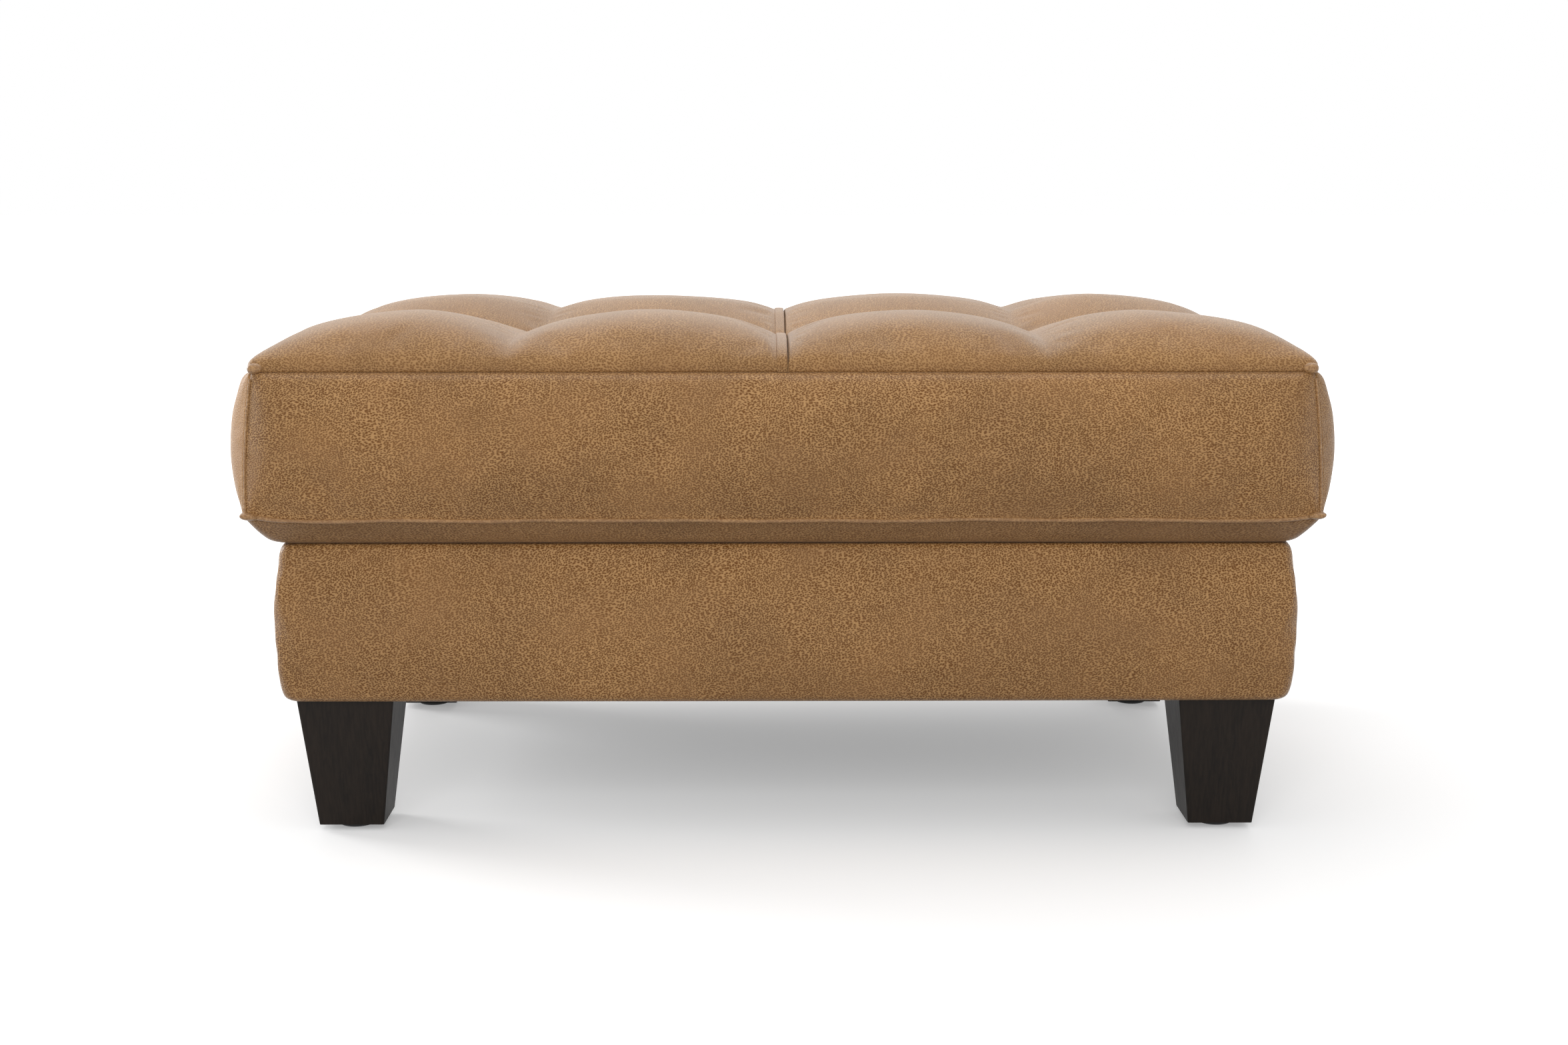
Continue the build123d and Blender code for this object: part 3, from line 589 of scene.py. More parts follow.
def makeTips():
    verts, faces = [], []
    rings, segments = tips["rings"], tips["segments"]
    for tip, (sx, sy) in [(tips[key], corner) for key in ("top", "low") for corner in corners]:
        faces += (gridFaces(rings + 1, segments, True) + len(verts)).tolist()
        along = Vector((sx * tip["lie"][0], sy * tip["lie"][1], 0))
        across = Vector((-along.y, along.x, 0))
        middle = Vector((sx * tip["half"][0], sy * tip["half"][1], tip["z"])) - along * tip["inside"]
        for i in range(rings + 1):
            t = math.sin(math.pi * (i / rings - 0.5))
            thick = max(0.0, 1 - abs(t) ** tips["fullness"][0]) ** tips["fullness"][1]
            centre = middle + along * (t * tip["reach"]) + Vector((0, 0, tip["curl"] * t * abs(t)))
            for k in range(segments):
                turn = 2 * math.pi * k / segments
                verts.append(centre + across * (thick * tip["wide"] * math.cos(turn))
                             + Vector((0, 0, thick * tip["tall"] * math.sin(turn))))
    mesh = bpy.data.meshes.new("cornerTips")
    mesh.from_pydata([tuple(v) for v in verts], [], faces)
    made = weld(newObject("cornerTips", mesh))
    modify(made, "SUBSURF", levels=1, render_levels=1)
    return applyModifiers(made)


# Flat felled strip beside the centre seam
strip = {
    "low": -0.0106, "high": -0.0005, "height": 0.0013, "sink": 0.0012, "cell": 0.004,
    "down": 0.0005, "endDown": 0.0010, "endReach": 0.003,
    "cross": ((0, 0), (0.03, 0.55), (0.1, 0.92), (0.25, 1), (0.5, 1.04), (0.75, 1), (0.9, 0.92), (0.97, 0.55), (1, 0)),
}


def makeStrip():
    halfY = lid["topHalf"][1]
    front, back = rowEnds()
    ys = np.concatenate([front[2:] - halfY, between(-crown["crest"][0], crown["crest"][1], strip["cell"]),
                         (halfY - back[2:])[::-1]])
    inward = halfY - np.abs(ys)
    ends = np.clip(inward / strip["endReach"], 0, 1)
    cross = [(share, strip["height"] * rise) for share, rise in strip["cross"]]
    rows = []
    for share, rise in [(0, -strip["sink"]), *cross, (1, -strip["sink"])]:
        x = np.full_like(ys, blend((strip["low"], strip["high"]), share))
        points, _ = crownSurface(x, ys)
        out = crown["lean"][1] * np.sign(ys) * standOut(np.hypot(inward, points[:, 2] - lid["topZ"]), inward)
        lift = rise - strip["down"] - strip["endDown"] * (1 - ends)
        rows.append(points + np.stack([skew(x, ys), out, lift], -1))
    made = weld(gridObject("centreSeamStrip", np.array(rows + rows[:1])), 1e-6, fill=True)
    smoothFaces(made.data)
    return made


# Padded leather of the base
def basePanel(sides):
    b = base
    shares = ringShares(b["half"], b["cell"], sides)
    profile = [(inward, 0, "under") for inward in b["under"]]
    profile += [(float(smoothCurve(b["shares"], h)) * b["draw"], h, "side") for h in b["heights"]]
    profile += [(inward, h, "rim") for inward, h in b["rim"]]
    points, out, rank = [], [], []
    for inward, h, kind in profile:
        corner, top = b["corner"], 0
        if kind == "side":
            top = max(0, (h - b["puffFrom"][0]) / b["puffFrom"][1])
        if kind == "rim":
            corner *= max(b["rimCorner"], 1 - (inward - b["draw"]) / b["rimSharpens"])
            top = fade(inward, *b["puffTo"])
        path, normal = ringRow(b["half"], inward, corner, shares, b["bow" if kind == "side" else "flatBow"])
        lift = b["rimPuff"] * top * fade(path[:, 1], *lid["clearOfHinges"])
        points.append(raised(path, b["bottomZ"] + b["height"] * h + lift))
        out.append(normal)
        rank.append(math.sin(math.pi * h) ** 0.5 if kind == "side" else 0.0)
    along = lengthsAlong(points[12])
    rank, ends = np.meshgrid(rank, np.minimum(along, along[-1] - along), indexing="ij")
    hold = 1 - np.clip(rank * puff["free"][0] - puff["free"][1], 0, 1)
    return {"points": np.array(points), "pin": np.maximum(hold, near(ends, puff["end"])), "cap": puff["cap"]["base"],
            "outward": (0, 0, 0.21), "out": np.array(out), "ends": ends, "rank": rank}


def finishBase(name, panel, shift):
    points, flat = panel["points"] + shift, slanted(panel["out"], 1, 0)
    ripple = wave(points[..., 0] + points[..., 1], points[..., 2], "base") - base["drawIn"]
    points = points + (ripple * panel["rank"] - rollIn(panel["ends"], lid["seamRoll"]))[..., None] * flat
    return leatherPiece(name, tuckEnds(points, flat, flat, 1), base["leather"], panel["outward"])


# Foam inside, from the solids' own form
core = {"voxel": 0.008, "narrower": (0.984, 0.976), "underLeather": 0.007, "roofAbove": 0.44, "floor": 0.3005}
pad = {"voxel": 0.006, "drawIn": 0.0016}


def foamPiece(name, node, voxel, drawIn):
    made = weld(newObject(name, nodes[node].data.copy()))
    modify(made, "REMESH", mode="VOXEL", voxel_size=voxel)
    modify(made, "SMOOTH", factor=0.5, iterations=4)
    modify(made, "DISPLACE", mid_level=0.0, strength=-drawIn)
    return applyModifiers(made)


def foamCore():
    made = foamPiece("foamCore", "foam_core", core["voxel"], 0.0)
    points = readPoints(made.data)
    points[:, :2] *= core["narrower"]
    x, y, z = points.T
    roof = lid["topZ"] + crownRise(x, y) - core["underLeather"]
    points[:, 2] = np.where(z > core["roofAbove"], np.minimum(z, roof), np.maximum(z, core["floor"]))
    writePoints(made.data, points)
    return made


# Cloth inside the base, under it and under the lid
cloths = {
    "well": {"half": (0.4562, 0.2822), "floor": 0.1567, "rim": 0.2874, "corner": 0.006, "wall": 0.0007, "cell": 0.018,
             "ease": 0.0006, "slack": 0.0005, "calm": 0.05, "steps": (10, 0.006),
             "turn": ((0.0015, 0.0025), (0.004, 0.0006), (0.009, 0), (0.05, 0), (0.12, 0), (0.19, 0), (0.25, 0),
                      (0.28, 0))},
    "lid": {"half": (0.4535, 0.2795), "low": 0.29225, "wall": 0.0006, "cells": (90, 58)},
    "dust": {"half": (0.4545, 0.2805), "low": 0.13525, "wall": 0.0004, "cells": (90, 58)},
}


def thicken(made, wall):
    modify(made, "SOLIDIFY", thickness=wall, offset=0)
    return applyModifiers(made)


def makeWellLining():
    c = cloths["well"]
    shares = ringShares(c["half"], c["cell"])
    rows = []
    for z in np.linspace(c["rim"], c["floor"] + c["steps"][1], c["steps"][0]):
        path, normal = ringRow(c["half"], 0, c["corner"], shares)
        slack = c["ease"] * (0.5 + wave(path[:, 0] + path[:, 1] + z, path[:, 0] - path[:, 1], "well"))
        rows.append(raised(path - np.clip(slack, 0, None)[:, None] * normal, z))
    for inward, lift in c["turn"]:
        corner = min(c["corner"], c["turn"][-1][0] - inward + 0.001)
        path, _ = ringRow(c["half"], inward, corner, shares)
        slack = c["slack"] * (1 + wave(*path.T, "wellFloor")) * min(1, inward / c["calm"])
        rows.append(raised(path, c["floor"] + lift + slack))
    rows.append(rows[-1] * (1, 0, 1))
    made = weld(gridObject("wellLining", np.array(rows), closed=True))
    if made.data.polygons[0].normal.dot(made.data.polygons[0].center) > 0:
        made.data.flip_normals()
    return thicken(made, c["wall"])


def makeFlatCloth(name, c):
    x, y = np.meshgrid(*[np.linspace(-half, half, count) for half, count in zip(c["half"], c["cells"])])
    return thicken(gridObject(name, np.stack([x, y, np.full_like(x, c["low"] + c["wall"] / 2)], -1)), c["wall"])


# Materials. Each tree is laid out by these helpers
def freshMaterial(name):
    made = bpy.data.materials.new(name)
    made.use_nodes = True
    made.node_tree.nodes.clear()
    return made, made.node_tree


def place(tree, kind, inputs=(), output=0, **settings):
    # a list fills an input that takes several links
    made = tree.nodes.new(kind)
    for key, value in settings.items():
        setattr(made, key, value)
    for key, value in dict(inputs).items():
        for item in value if isinstance(value, list) else [value]:
            if isinstance(item, bpy.types.NodeSocket):
                tree.links.new(item, made.inputs[key])
            else:
                made.inputs[key].default_value = item
    return made.outputs if output is None else made.outputs[output]


def calculate(tree, kind, *values):
    return place(tree, "ShaderNodeMath", dict(enumerate(values)), operation=kind)


def vectors(tree, kind, *values, output=0):
    return place(tree, "ShaderNodeVectorMath", dict(enumerate(values)), output, operation=kind)


def tinted(colour, share):
    return tuple(v * share for v in colour)


def blendColours(tree, share, *colours):
    first, second = [c if isinstance(c, bpy.types.NodeSocket) else (*c, 1) for c in colours]
    return place(tree, "ShaderNodeMix", {0: share, 6: first, 7: second}, 2, data_type="RGBA")


def ranged(tree, value, low, high, toLow=0.0, toHigh=1.0, smooth="SMOOTHSTEP"):
    inputs = {"Value": value, "From Min": low, "From Max": high, "To Min": toLow, "To Max": toHigh}
    return place(tree, "ShaderNodeMapRange", inputs, clamp=True, interpolation_type=smooth)


def mapped(tree, vector=None, turn=(0, 0, 0), shift=(0, 0, 0), scale=(1, 1, 1)):
    if vector is None:
        vector = place(tree, "ShaderNodeTexCoord", output="Object")
    return place(tree, "ShaderNodeMapping", {"Vector": vector, "Rotation": turn, "Location": shift, "Scale": scale})


def noise(tree, vector, scale, detail=2.0, roughness=0.5, distortion=0.0, output=0):
    inputs = {"Vector": vector, "Scale": scale, "Detail": detail, "Roughness": roughness, "Distortion": distortion}
    return place(tree, "ShaderNodeTexNoise", inputs, output)


def bumped(tree, height, distance, strength):
    return place(tree, "ShaderNodeBump", {"Height": height, "Distance": distance, "Strength": strength})


def endMaterial(tree, shader):
    place(tree, "ShaderNodeOutputMaterial", {"Surface": shader}, None)


def endSurface(tree, colour, roughness, normal, others):
    inputs = {"Base Color": colour, "Roughness": roughness, "Normal": normal, **others}
    endMaterial(tree, place(tree, "ShaderNodeBsdfPrincipled", inputs))


leatherLook = {
    "ground": (0.417, 0.231, 0.092), "pit": (0.130, 0.042, 0.001), "middle": (0.302, 0.150, 0.055),
    "grain": 550.0, "stretch": (0.72, 1.22, 1.0), "randomness": 0.85, "bend": 0.018, "bendScale": 17.0,
    "ragged": 0.62, "raggedScale": 1.6, "bunch": 0.26, "bunchScale": 105.0,
    "patch": 13.0, "patchRange": (0.40, 0.72, 0.0, 0.42), "cloud": 8.0, "cloudTone": (0.90, 1.08),
    "pitRange": (1.06, 0.52), "solidPitRange": (1.22, 0.70),
    "roughness": 0.55, "pitRoughness": 0.12, "relief": 0.00080, "reliefStrength": 0.7,
    "coating": {"IOR": 1.45, "Specular IOR Level": 0.2, "Coat Roughness": 0.32, "Sheen Roughness": 0.45,
                "Sheen Tint": (1.0, 0.93, 0.86, 1.0)},
}


def makeLeather(tree, turn=0.0, shift=(0, 0, 0), shade=1.0, solid=False, depth=0.92, coat=0.62, sheen=0.12,
                coatIor=1.33):
    # short dark pits in slowly turning rows on a golden ground, under a thin satin coat
    look = leatherLook
    hide = None if solid else place(tree, "ShaderNodeUVMap", uv_map="hide")  # narrow rolls have no map of their own
    where = mapped(tree, hide, (0, 0, turn), shift)
    bend = noise(tree, where, look["bendScale"], 1.0, output="Color")
    centred = vectors(tree, "SUBTRACT", bend, (0.5, 0.5, 0.5))
    bent = vectors(tree, "MULTIPLY_ADD", centred, (look["bend"],) * 3, where)
    drawn = vectors(tree, "MULTIPLY", bent, look["stretch"])
    inputs = {"Vector": drawn, "Scale": look["grain"], "Randomness": look["randomness"]}
    field = place(tree, "ShaderNodeTexVoronoi", inputs, "Distance", feature="F1",
                  voronoi_dimensions="3D" if solid else "2D")
    ragged = noise(tree, drawn, look["grain"] * look["raggedScale"], 1.0, 0.5, 0.3)
    field = calculate(tree, "MULTIPLY_ADD", ragged, look["ragged"], field)
    field = calculate(tree, "MULTIPLY_ADD", noise(tree, where, look["bunchScale"], 1.0), look["bunch"], field)
    smooth = ranged(tree, noise(tree, where, look["patch"], 3.0, 0.6), *look["patchRange"])
    clouds = ranged(tree, noise(tree, where, look["cloud"], 3.0, 0.55), 0.3, 0.7)
    dark = ranged(tree, field, *look["solidPitRange" if solid else "pitRange"], 0.0, depth)
    # shade scales all the colours of a panel; on the top covers, the side panels and the band it paints light or shade
    # onto one and the same leather
    textured = blendColours(tree, dark, tinted(look["ground"], shade), tinted(look["pit"], shade))
    textured = blendColours(tree, smooth, textured, tinted(look["middle"], shade))
    tone = ranged(tree, clouds, 0.0, 1.0, *look["cloudTone"], "LINEAR")
    colour = place(tree, "ShaderNodeVectorMath", {0: textured, "Scale": tone}, operation="SCALE")
    rough = ranged(tree, dark, 0.0, 1.0, look["roughness"], look["roughness"] + look["pitRoughness"])
    relief = bumped(tree, calculate(tree, "MULTIPLY", dark, -1.0), look["relief"], look["reliefStrength"])
    layers = {"Coat Weight": coat, "Coat IOR": coatIor, "Sheen Weight": sheen, **look["coating"]}
    endSurface(tree, colour, rough, relief, layers)


def makeWood(tree, ground, streak, grainScale, roughness, stretch, specular):
    where = mapped(tree, shift=(0.3, 0.7, 0.1), scale=stretch)
    lines = noise(tree, where, grainScale, 5.0, 0.62, 0.4)
    wide = noise(tree, where, grainScale * 0.16, 2.0, 0.5, 0.2)
    colour = blendColours(tree, ranged(tree, lines, 0.34, 0.68), streak, ground)
    colour = blendColours(tree, ranged(tree, wide, 0.3, 0.7, 0.0, 0.45), colour, tinted(ground, 1.35))
    rough = ranged(tree, lines, 0.3, 0.7, roughness + 0.08, roughness)
    endSurface(tree, colour, rough, bumped(tree, lines, 0.0001, 0.6), {"IOR": 1.5, "Specular IOR Level": specular})


def makeCloth(tree, thread, gap, spacing, roughness):
    where = mapped(tree)
    split = place(tree, "ShaderNodeSeparateXYZ", {"Vector": where}, None)
    sines = [calculate(tree, "SINE", calculate(tree, "MULTIPLY", split[a], 2 * math.pi / spacing)) for a in range(3)]
    height = calculate(tree, "ADD", sines[2], calculate(tree, "ADD", sines[1], sines[0]))
    slub = noise(tree, where, 0.35 / spacing, 3.0, 0.6)
    weave = ranged(tree, height, -1.6, 1.6)
    colour = blendColours(tree, weave, gap, thread)
    colour = blendColours(tree, ranged(tree, slub, 0.35, 0.65, 0.0, 0.35), colour, tinted(thread, 1.5))
    endSurface(tree, colour, roughness, bumped(tree, weave, spacing * 0.2, 0.7), {"Sheen Weight": 0.15})


def makeHard(tree, ground, mark, scale, roughness, metallic=0.0, relief=0.00002, stretch=(1, 1, 1)):
    where = mapped(tree, scale=stretch)
    marks = noise(tree, where, scale, 4.0, 0.6)
    worn = noise(tree, where, scale * 0.12, 3.0, 0.55)
    colour = blendColours(tree, ranged(tree, marks, 0.35, 0.65), ground, mark)
    rough = ranged(tree, worn, 0.3, 0.7, roughness, roughness + 0.14)
    endSurface(tree, colour, rough, bumped(tree, marks, relief, 0.5), {"Metallic": metallic, "IOR": 1.5})


leathers = {
    # the top covers, and the strip that shares their finish, are toned a little darker: painted shade against the light
    # from above
    "leatherTop": {"shade": 0.95, "depth": 0.75},
    "leatherTopRight": {"turn": 0.25, "shift": (0.7, 0.3, 0), "shade": 0.95, "depth": 0.75},
    "leatherFront": {"turn": -0.12, "shift": (0.3, 0.9, 0), "shade": 1.04, "depth": 1.0},
    # the left side panel is painted lighter and the right one darker: painted light and painted shade from the lamp on
    # the left, on one and the same leather
    "leatherLeft": {"turn": 0.3, "shift": (0.5, 0.1, 0), "shade": 1.12, "depth": 0.5, "coat": 0.4, "sheen": 0.03},
    "leatherRight": {"turn": 0.2, "shift": (0.6, 0.5, 0), "shade": 0.95, "depth": 0.7, "coat": 0.3, "sheen": 0.03},
    "leatherBack": {"turn": 0.15, "shift": (0.2, 0.6, 0)},
    # the band is painted darker: painted shade, as it faces down towards the floor
    "leatherBand": {"shift": (0.8, 0.4, 0), "shade": 0.83},
    "leatherBase": {"turn": -0.2, "shift": (0.1, 0.5, 0), "shade": 1.03, "depth": 1.0},
    "leatherEdge": {"turn": 0.1, "shift": (0.4, 0.2, 0), "solid": True, "depth": 0.6, "coat": 0.9, "coatIor": 1.5},
}
# Two colours, the scale of the marks, the roughness, then what each kind has of its own
otherFinishes = {
    "darkWood": (makeWood, (0.0125, 0.0080, 0.0052), (0.0050, 0.0032, 0.0022), 420.0, 0.46, (1, 1, 0.05), 0.2),
    "plywood": (makeWood, (0.62, 0.44, 0.26), (0.42, 0.27, 0.14), 160.0, 0.55, (0.06, 1, 1), 0.5),
    "lining": (makeCloth, (0.075, 0.07, 0.066), (0.03, 0.028, 0.026), 0.0016, 0.85),
    "dustCloth": (makeCloth, (0.022, 0.022, 0.023), (0.008, 0.008, 0.008), 0.0012, 0.9),
    "foam": (makeHard, (0.80, 0.73, 0.52), (0.66, 0.58, 0.38), 900.0, 0.85, 0.0, 0.0003),
    "zincSteel": (makeHard, (0.62, 0.62, 0.60), (0.50, 0.50, 0.49), 700.0, 0.28, 1.0, 0.00002, (1, 6, 6)),
    "blackSteel": (makeHard, (0.022, 0.022, 0.024), (0.034, 0.034, 0.036), 900.0, 0.36, 0.0, 0.00004),
    "chromeRod": (makeHard, (0.78, 0.78, 0.79), (0.70, 0.70, 0.72), 1200.0, 0.08, 1.0),
    "blackPlastic": (makeHard, (0.012, 0.012, 0.012), (0.020, 0.020, 0.020), 1300.0, 0.42, 0.0, 0.00003),
    "rubber": (makeHard, (0.018, 0.018, 0.018), (0.028, 0.028, 0.027), 800.0, 0.7, 0.0, 0.00003),
    "twine": (makeCloth, (0.55, 0.48, 0.36), (0.34, 0.28, 0.19), 0.0008, 0.8),
    "thread": (makeHard, (0.045, 0.024, 0.012), (0.080, 0.042, 0.020), 2500.0, 0.7),
}
materials = {}
for name, look in leathers.items():
    materials[name], tree = freshMaterial(name)
    makeLeather(tree, **look)
for name, (make, *look) in otherFinishes.items():
    materials[name], tree = freshMaterial(name)
    make(tree, *look)


def camel(name):
    first, *rest = name.split("_")
    return first + "".join(word.capitalize() for word in rest)


def dress(made, slot, finish=None, body=None, stands=()):
    if body == "lid" and slot in ("leather", "foam"):
        # the lid's upholstery sits a little to the left of the base, as on the real one
        writePoints(made.data, readPoints(made.data) + (lid["aside"], 0, 0))
    made.data.materials.clear()
    made.data.materials.append(materials[finish or camel(slot)])
    if stands:
        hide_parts(*stands)
    if body:
        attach(made, body)
    return made


for part in frame["record"]["subparts"]:
    slot = part["material_slot"]
    dress(nodes[part["node"]], slot, "leatherBase" if slot == "leather" else None)
print("materials ready:", len(materials))


# Geometry Nodes: a tree of named inputs, run once on a helper mesh and kept as a plain mesh
def newTree(name, sizes):
    tree = bpy.data.node_groups.new(name, "GeometryNodeTree")
    socket = tree.interface.new_socket
    socket("Geometry", in_out="INPUT", socket_type="NodeSocketGeometry")
    for key, value in sizes.items():
        socket(key, in_out="INPUT", socket_type="NodeSocketFloat").default_value = value
    socket("Finish", in_out="INPUT", socket_type="NodeSocketMaterial")
    socket("Geometry", in_out="OUTPUT", socket_type="NodeSocketGeometry")
    return tree, tree.nodes.new("NodeGroupInput").outputs


def endTree(tree, made, sizes):
    real = place(tree, "GeometryNodeRealizeInstances", {"Geometry": made})
    painted = place(tree, "GeometryNodeSetMaterial", {"Geometry": real, "Material": sizes["Finish"]})
    place(tree, "NodeGroupOutput", {0: painted}, None)
    return tree


def runTree(tree, mesh, sizes, slot, finish, body, stands=()):
    made = newObject(mesh.name, mesh)
    modifier = modify(made, "NODES", node_group=tree)
    values = {**sizes, "Finish": materials[finish]}
    for item in tree.interface.items_tree:
        if item.in_out == "INPUT" and item.name in values:
            modifier[item.identifier] = values[item.name]
    return dress(applyModifiers(made, smooth=False), slot, finish, body, stands)


def combined(tree, **axes):
    return place(tree, "ShaderNodeCombineXYZ", axes)


def transformed(tree, geometry, key, vector):
    return place(tree, "GeometryNodeTransform", {"Geometry": geometry, key: vector})


def aligned(tree, vector, axis):
    return place(tree, "FunctionNodeAlignRotationToVector", {"Vector": vector}, axis=axis)


def onPoints(tree, points, instance, rotation):
    return place(tree, "GeometryNodeInstanceOnPoints", {"Points": points, "Instance": instance, "Rotation": rotation})


screwSizes = {
    "Head Radius": 0.0032, "Head Height": 0.0018, "Shank Radius": 0.0014, "Tip Radius": 0.0003, "Length": 0.014,
    "Cross Width": 0.0009, "Cross Length": 0.0036, "Cross Depth": 0.0011,
}


def hungCone(tree, vertices, top, bottom, depth, low):
    inputs = {"Vertices": vertices, "Radius Top": top, "Radius Bottom": bottom, "Depth": depth}
    down = combined(tree, Z=calculate(tree, "MULTIPLY", low, -1.0))
    return transformed(tree, place(tree, "GeometryNodeMeshCone", inputs), "Translation", down)


def screwTree():
    tree, sizes = newTree("screws", screwSizes)
    head = hungCone(tree, 28, sizes["Head Radius"], sizes["Shank Radius"], sizes["Head Height"], sizes["Head Height"])
    deep = calculate(tree, "MULTIPLY", sizes["Cross Depth"], 2.0)
    long, wide = sizes["Cross Length"], sizes["Cross Width"]
    bars = [place(tree, "GeometryNodeMeshCube", {"Size": combined(tree, X=x, Y=y, Z=deep)})
            for x, y in ((long, wide), (wide, long))]
    cut = place(tree, "GeometryNodeMeshBoolean", {0: head, 1: bars}, operation="DIFFERENCE", solver="EXACT")
    depth = calculate(tree, "SUBTRACT", sizes["Length"], sizes["Head Height"])
    shank = hungCone(tree, 14, sizes["Shank Radius"], sizes["Tip Radius"], depth, sizes["Length"])
    whole = place(tree, "GeometryNodeJoinGeometry", {0: [shank, cut]})
    facing = place(tree, "GeometryNodeInputNamedAttribute", {"Name": "facing"}, data_type="FLOAT_VECTOR")
    spin = place(tree, "FunctionNodeRandomValue", {"Min": 0.0, "Max": 3.0, "Seed": 5}, 1, data_type="FLOAT")
    about = place(tree, "FunctionNodeEulerToRotation", {"Euler": combined(tree, Z=spin)})
    both = place(tree, "FunctionNodeRotateRotation", {"Rotation": aligned(tree, facing, "Z"), "Rotate By": about},
                 rotation_space="LOCAL")
    return endTree(tree, onPoints(tree, sizes["Geometry"], whole, both), sizes)


def islandBoxes(node):
    # the box of every separate solid in a CAD node
    work = bmesh.new()
    work.from_mesh(nodes[node].data)
    bmesh.ops.remove_doubles(work, verts=work.verts, dist=1e-6)
    seen, boxes = set(), []
    for vert in work.verts:
        if vert in seen:
            continue
        group, queue = [], [vert]
        seen.add(vert)
        while queue:
            now = queue.pop()
            group.append(now.co.copy())
            others = {edge.other_vert(now) for edge in now.link_edges} - seen
            seen |= others
            queue += others
        boxes.append((np.min(group, 0), np.max(group, 0)))
    work.free()
    return boxes


def pointsMesh(name, points, facing):
    mesh = bpy.data.meshes.new(name)
    mesh.from_pydata([tuple(p) for p in points], [], [])
    attribute = mesh.attributes.new("facing", "FLOAT_VECTOR", "POINT")
    attribute.data.foreach_set("vector", np.array(facing, np.float32).reshape(-1))
    return mesh


screws = screwTree()
screwRows = {
    "hinge_base_screws": ((0, 0, 1), "base"), "hinge_lid_screws": ((0, 0, -1), "lid"),
    "strut_base_screws": ("inward", "base"), "strut_lid_screws": ((0, 0, -1), "lid"),
}
for node, (way, body) in screwRows.items():
    points, facing = [], []
    for low, high in islandBoxes(node):
        middle = (low + high) / 2
        direction = np.array((-np.sign(middle[0]), 0, 0) if way == "inward" else way, float)
        points.append(middle + direction * (high - low) / 2)
        facing.append(direction)
    runTree(screws, pointsMesh(camel(node), points, facing), screwSizes, "zinc_steel", "zincSteel", body, [node])
    print(camel(node), len(points))


# Stitches and staples along a line of points, and ridges along the corner seams
stitchSizes = {"Spacing": 0.0042, "Bead Length": 0.0030, "Bead Radius": 0.00042}
stapleSizes = {"Spacing": 0.040, "Bead Length": 0.0105, "Bead Radius": 0.00045}
ridgeSizes = {"Ridge Radius": 0.0014}


def rowTree(name, given):
    tree, sizes = newTree(name, given)
    curve = place(tree, "GeometryNodeMeshToCurve", {"Mesh": sizes["Geometry"]})
    even = place(tree, "GeometryNodeResampleCurve", {"Curve": curve, "Length": sizes["Spacing"]}, mode="LENGTH")
    bead = place(tree, "GeometryNodeMeshUVSphere", {"Segments": 8, "Rings": 5, "Radius": 1.0})
    radius, half = sizes["Bead Radius"], calculate(tree, "MULTIPLY", sizes["Bead Length"], 0.5)
    shaped = transformed(tree, bead, "Scale", combined(tree, X=half, Y=radius, Z=radius))
    turned = aligned(tree, place(tree, "GeometryNodeInputTangent"), "X")
    return endTree(tree, onPoints(tree, even, shaped, turned), sizes)


def ridgeTree():
    tree, sizes = newTree("ridges", ridgeSizes)
    curve = place(tree, "GeometryNodeMeshToCurve", {"Mesh": sizes["Geometry"]})
    ring = place(tree, "GeometryNodeCurvePrimitiveCircle", {"Resolution": 10, "Radius": sizes["Ridge Radius"]})
    skin = place(tree, "GeometryNodeCurveToMesh", {"Curve": curve, "Profile Curve": ring, "Fill Caps": True})
    return endTree(tree, skin, sizes)


def linesMesh(name, lines):
    verts, edges = [], []
    for line in lines:
        edges += [(len(verts) + i, len(verts) + i + 1) for i in range(len(line) - 1)]
        verts += [tuple(p) for p in line]
    mesh = bpy.data.meshes.new(name)
    mesh.from_pydata(verts, edges, [])
    return mesh


def cornerLines(beside, above):
    # lines up the four corner seams, some way along the side panel from each and above its surface
    lines = []
    for sx, sy in corners:
        line = []
        for h in np.linspace(0.05, 0.95, 50):
            halfX, halfY, corner, _ = boxingRing(h)
            turn = math.pi / 4 - beside / corner
            reach = corner + above
            line.append((sx * (halfX - corner + reach * math.cos(turn)), sy * (halfY - corner + reach * math.sin(turn)),
                         blend((lid["lowerZ"], lid["topZ"]), h)))
        lines.append(line)
    return lines


# The leather covers: how each is finished, its look, body and flat size
covers = {
    "top_cover_left": (finishCrown, "leatherTop", "lid", (0.56, 0.74)),
    "top_cover_right": (finishCrown, "leatherTopRight", "lid", (0.56, 0.74)),
    "boxing_front": (finishBoxing, "leatherFront", "lid", (1.06, 0.165)),
    "boxing_back": (finishBoxing, "leatherBack", "lid", (1.06, 0.165)),
    "boxing_left": (finishBoxing, "leatherLeft", "lid", (0.71, 0.165)),
    "boxing_right": (finishBoxing, "leatherRight", "lid", (0.71, 0.165)),
    "base_cover_wrap": (finishBase, "leatherBase", "base", (2.28, 0.25)),
    "base_cover_back": (finishBase, "leatherBack", "base", (0.99, 0.25)),
}
panels = {"top_cover_left": crownPanel(-1), "top_cover_right": crownPanel(1)}
panels |= {"boxing_" + side: boxingPanel(side) for side in quarterTurns}
panels |= {"base_cover_wrap": basePanel(("left", "front", "right")), "base_cover_back": basePanel(("back",))}
shifts = swell(panels)
print("soft panels swelled")


def coverWith(made, slot, finish, body, node):
    dress(made, slot, finish, body, [node])


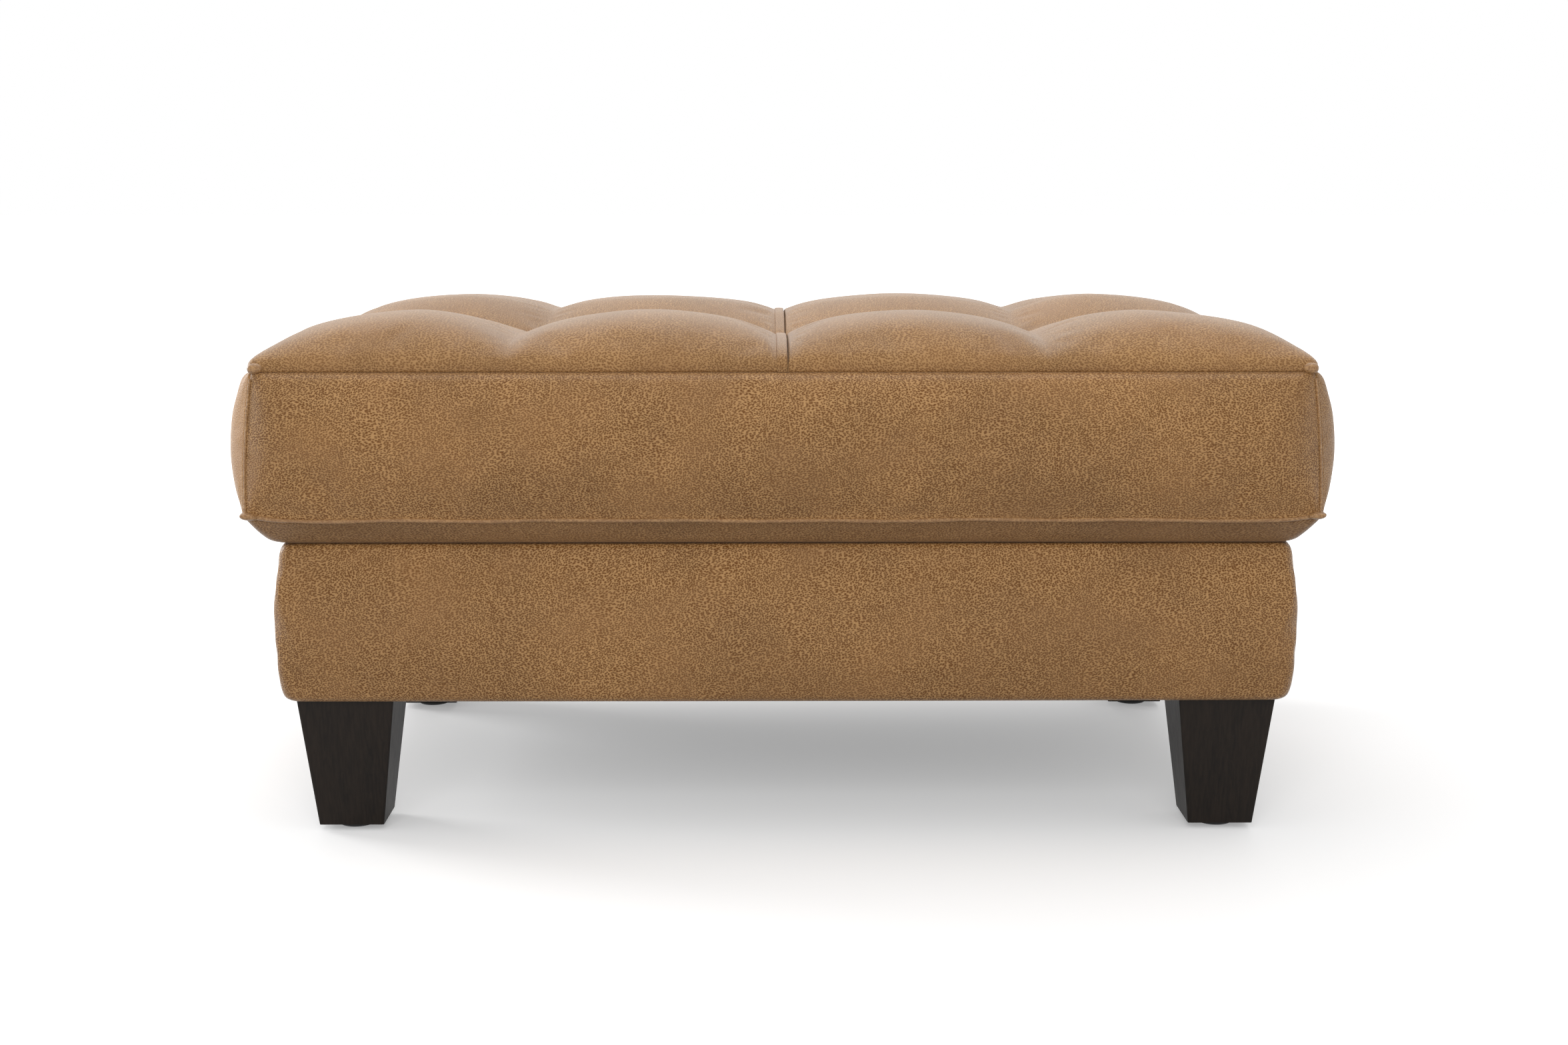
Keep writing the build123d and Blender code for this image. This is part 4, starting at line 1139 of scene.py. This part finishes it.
dress(foamCore(), "foam", None, "lid", ["foam_core"])
for side in ("front", "back", "left", "right"):
    made = foamPiece(camel("pad_" + side), "pad_" + side, pad["voxel"], pad["drawIn"])
    dress(made, "foam", None, "base", ["pad_" + side])
for node, (finish, look, body, flat) in covers.items():
    made = finish(camel(node), panels[node], shifts[node])
    coverWith(made, "leather", look, body, node)
coverWith(makeBand(), "leather", "leatherBand", "lid", "lower_band")
dress(makeWelt(), "leather", "leatherEdge", "lid", ["lower_welt"])
dress(makeTips(), "leather", "leatherEdge", "lid")
coverWith(makeStrip(), "leather", "leatherTop", "lid", "centre_seam_strip")
print("leather ready")

coverWith(makeWellLining(), "lining", None, "base", "well_lining")
made = makeFlatCloth("lidLining", cloths["lid"])
coverWith(made, "lining", None, "lid", "lid_lining")
made = makeFlatCloth("dustCover", cloths["dust"])
coverWith(made, "dust_cloth", None, "base", "dust_cover")

lines = linesMesh("cornerRidges", cornerLines(-0.0020, 0.0003))
smoothFaces(runTree(ridgeTree(), lines, ridgeSizes, "leather", "leatherEdge", "lid").data)
lines = linesMesh("cornerStitches", cornerLines(0.0042, -0.0007))
runTree(rowTree("stitches", stitchSizes), lines, stitchSizes, "leather", "thread", "lid")
staples = rowTree("staples", stapleSizes)
stapleLine = {"half": (0.449, 0.275), "below": 0.0001}
for cloth, body in (("dust", "base"), ("lid", "lid")):
    a, b = stapleLine["half"]
    edge = [(sx * a, sy * b, cloths[cloth]["low"] - stapleLine["below"]) for sx, sy in (*corners, corners[0])]
    runTree(staples, linesMesh(cloth + "Staples", [edge]), stapleSizes, "zinc_steel", "zincSteel", body)
print("stitches and staples ready")


# Floor, lights and camera
def seenAsIs(tree):
    # 1 for what the camera sees, itself or in a mirror or glass
    paths = place(tree, "ShaderNodeLightPath", output=None)
    first = calculate(tree, "MAXIMUM", paths["Is Camera Ray"], paths["Is Glossy Ray"])
    return calculate(tree, "MAXIMUM", first, paths["Is Transmission Ray"])


ground = {"half": 40, "glowFrom": 0.9, "glowTo": 2.6, "glow": (0.30, 1.0), "shade": 0.40, "seenShade": 0.80}


def makeFloor():
    mesh = bpy.data.meshes.new("floor")
    mesh.from_pydata([(sx * ground["half"], sy * ground["half"], 0) for sx, sy in corners], [], [(0, 1, 2, 3)])
    made = newObject("floor", mesh)
    paint, tree = freshMaterial("floor")
    away = vectors(tree, "LENGTH", mapped(tree), output="Value")
    seen = seenAsIs(tree)
    lift = ranged(tree, away, ground["glowFrom"], ground["glowTo"], *ground["glow"])
    strength = calculate(tree, "MULTIPLY", seen, lift)
    glow = place(tree, "ShaderNodeEmission", {"Color": (1, 1, 1, 1), "Strength": strength})
    tint = blendColours(tree, seen, (ground["shade"],) * 3, (ground["seenShade"],) * 3)
    flat = place(tree, "ShaderNodeBsdfDiffuse", {"Color": tint})
    endMaterial(tree, place(tree, "ShaderNodeAddShader", {0: glow, 1: flat}))
    mesh.materials.append(paint)


def makeWorld(strength):
    world = bpy.data.worlds.new("studio")
    bpy.context.scene.world = world
    world.use_nodes = True
    tree = world.node_tree
    tree.nodes.clear()
    level = ranged(tree, seenAsIs(tree), 0.0, 1.0, strength, 1.0, "LINEAR")
    glow = place(tree, "ShaderNodeBackground", {"Color": (1, 1, 1, 1), "Strength": level})
    place(tree, "ShaderNodeOutputWorld", {"Surface": glow}, None)


lamps = {
    "overhead": {"place": (0.0, 0.35, 2.6), "aim": (0, 0, 0.4), "size": (3.2, 2.4), "power": 24, "mirrored": True},
    "front": {"place": (-0.2, -3.6, 1.9), "aim": (0, 0, 0.35), "size": (2.2, 1.8), "power": 54, "mirrored": False},
    "back": {"place": (0.3, 3.2, 2.2), "aim": (0, 0, 0.4), "size": (3.0, 1.4), "power": 16, "mirrored": False},
    "left": {"place": (-3.0, 1.2, 1.3), "aim": (-0.5, -0.2, 0.4), "size": (1.2, 1.5), "power": 48, "mirrored": True},
}
eye = {"place": (-0.0185, -2.3623, 0.6319), "down": 0.1551, "turn": -0.0077, "lens": 50, "sensor": 36, "far": 200}


def makeLamp(name, lamp):
    light = bpy.data.lights.new(name, "AREA")
    light.shape = "RECTANGLE"
    light.size, light.size_y = lamp["size"]
    light.energy = lamp["power"]
    made = newObject(name, light)
    made.visible_glossy = lamp["mirrored"]
    made.location = lamp["place"]
    made.rotation_euler = (Vector(lamp["aim"]) - Vector(lamp["place"])).to_track_quat("-Z", "Y").to_euler()


makeFloor()
makeWorld(0.62)
for name, lamp in lamps.items():
    makeLamp(name, lamp)
view = bpy.data.cameras.new("camera")
view.lens, view.sensor_width, view.clip_end = eye["lens"], eye["sensor"], eye["far"]
camera = newObject("camera", view)
camera.location = eye["place"]
camera.rotation_euler = Euler((math.pi / 2 - eye["down"], 0, eye["turn"]))
bpy.context.scene.camera = camera
bpy.context.scene.view_settings.view_transform = "Standard"
print("floor, lights and camera ready")
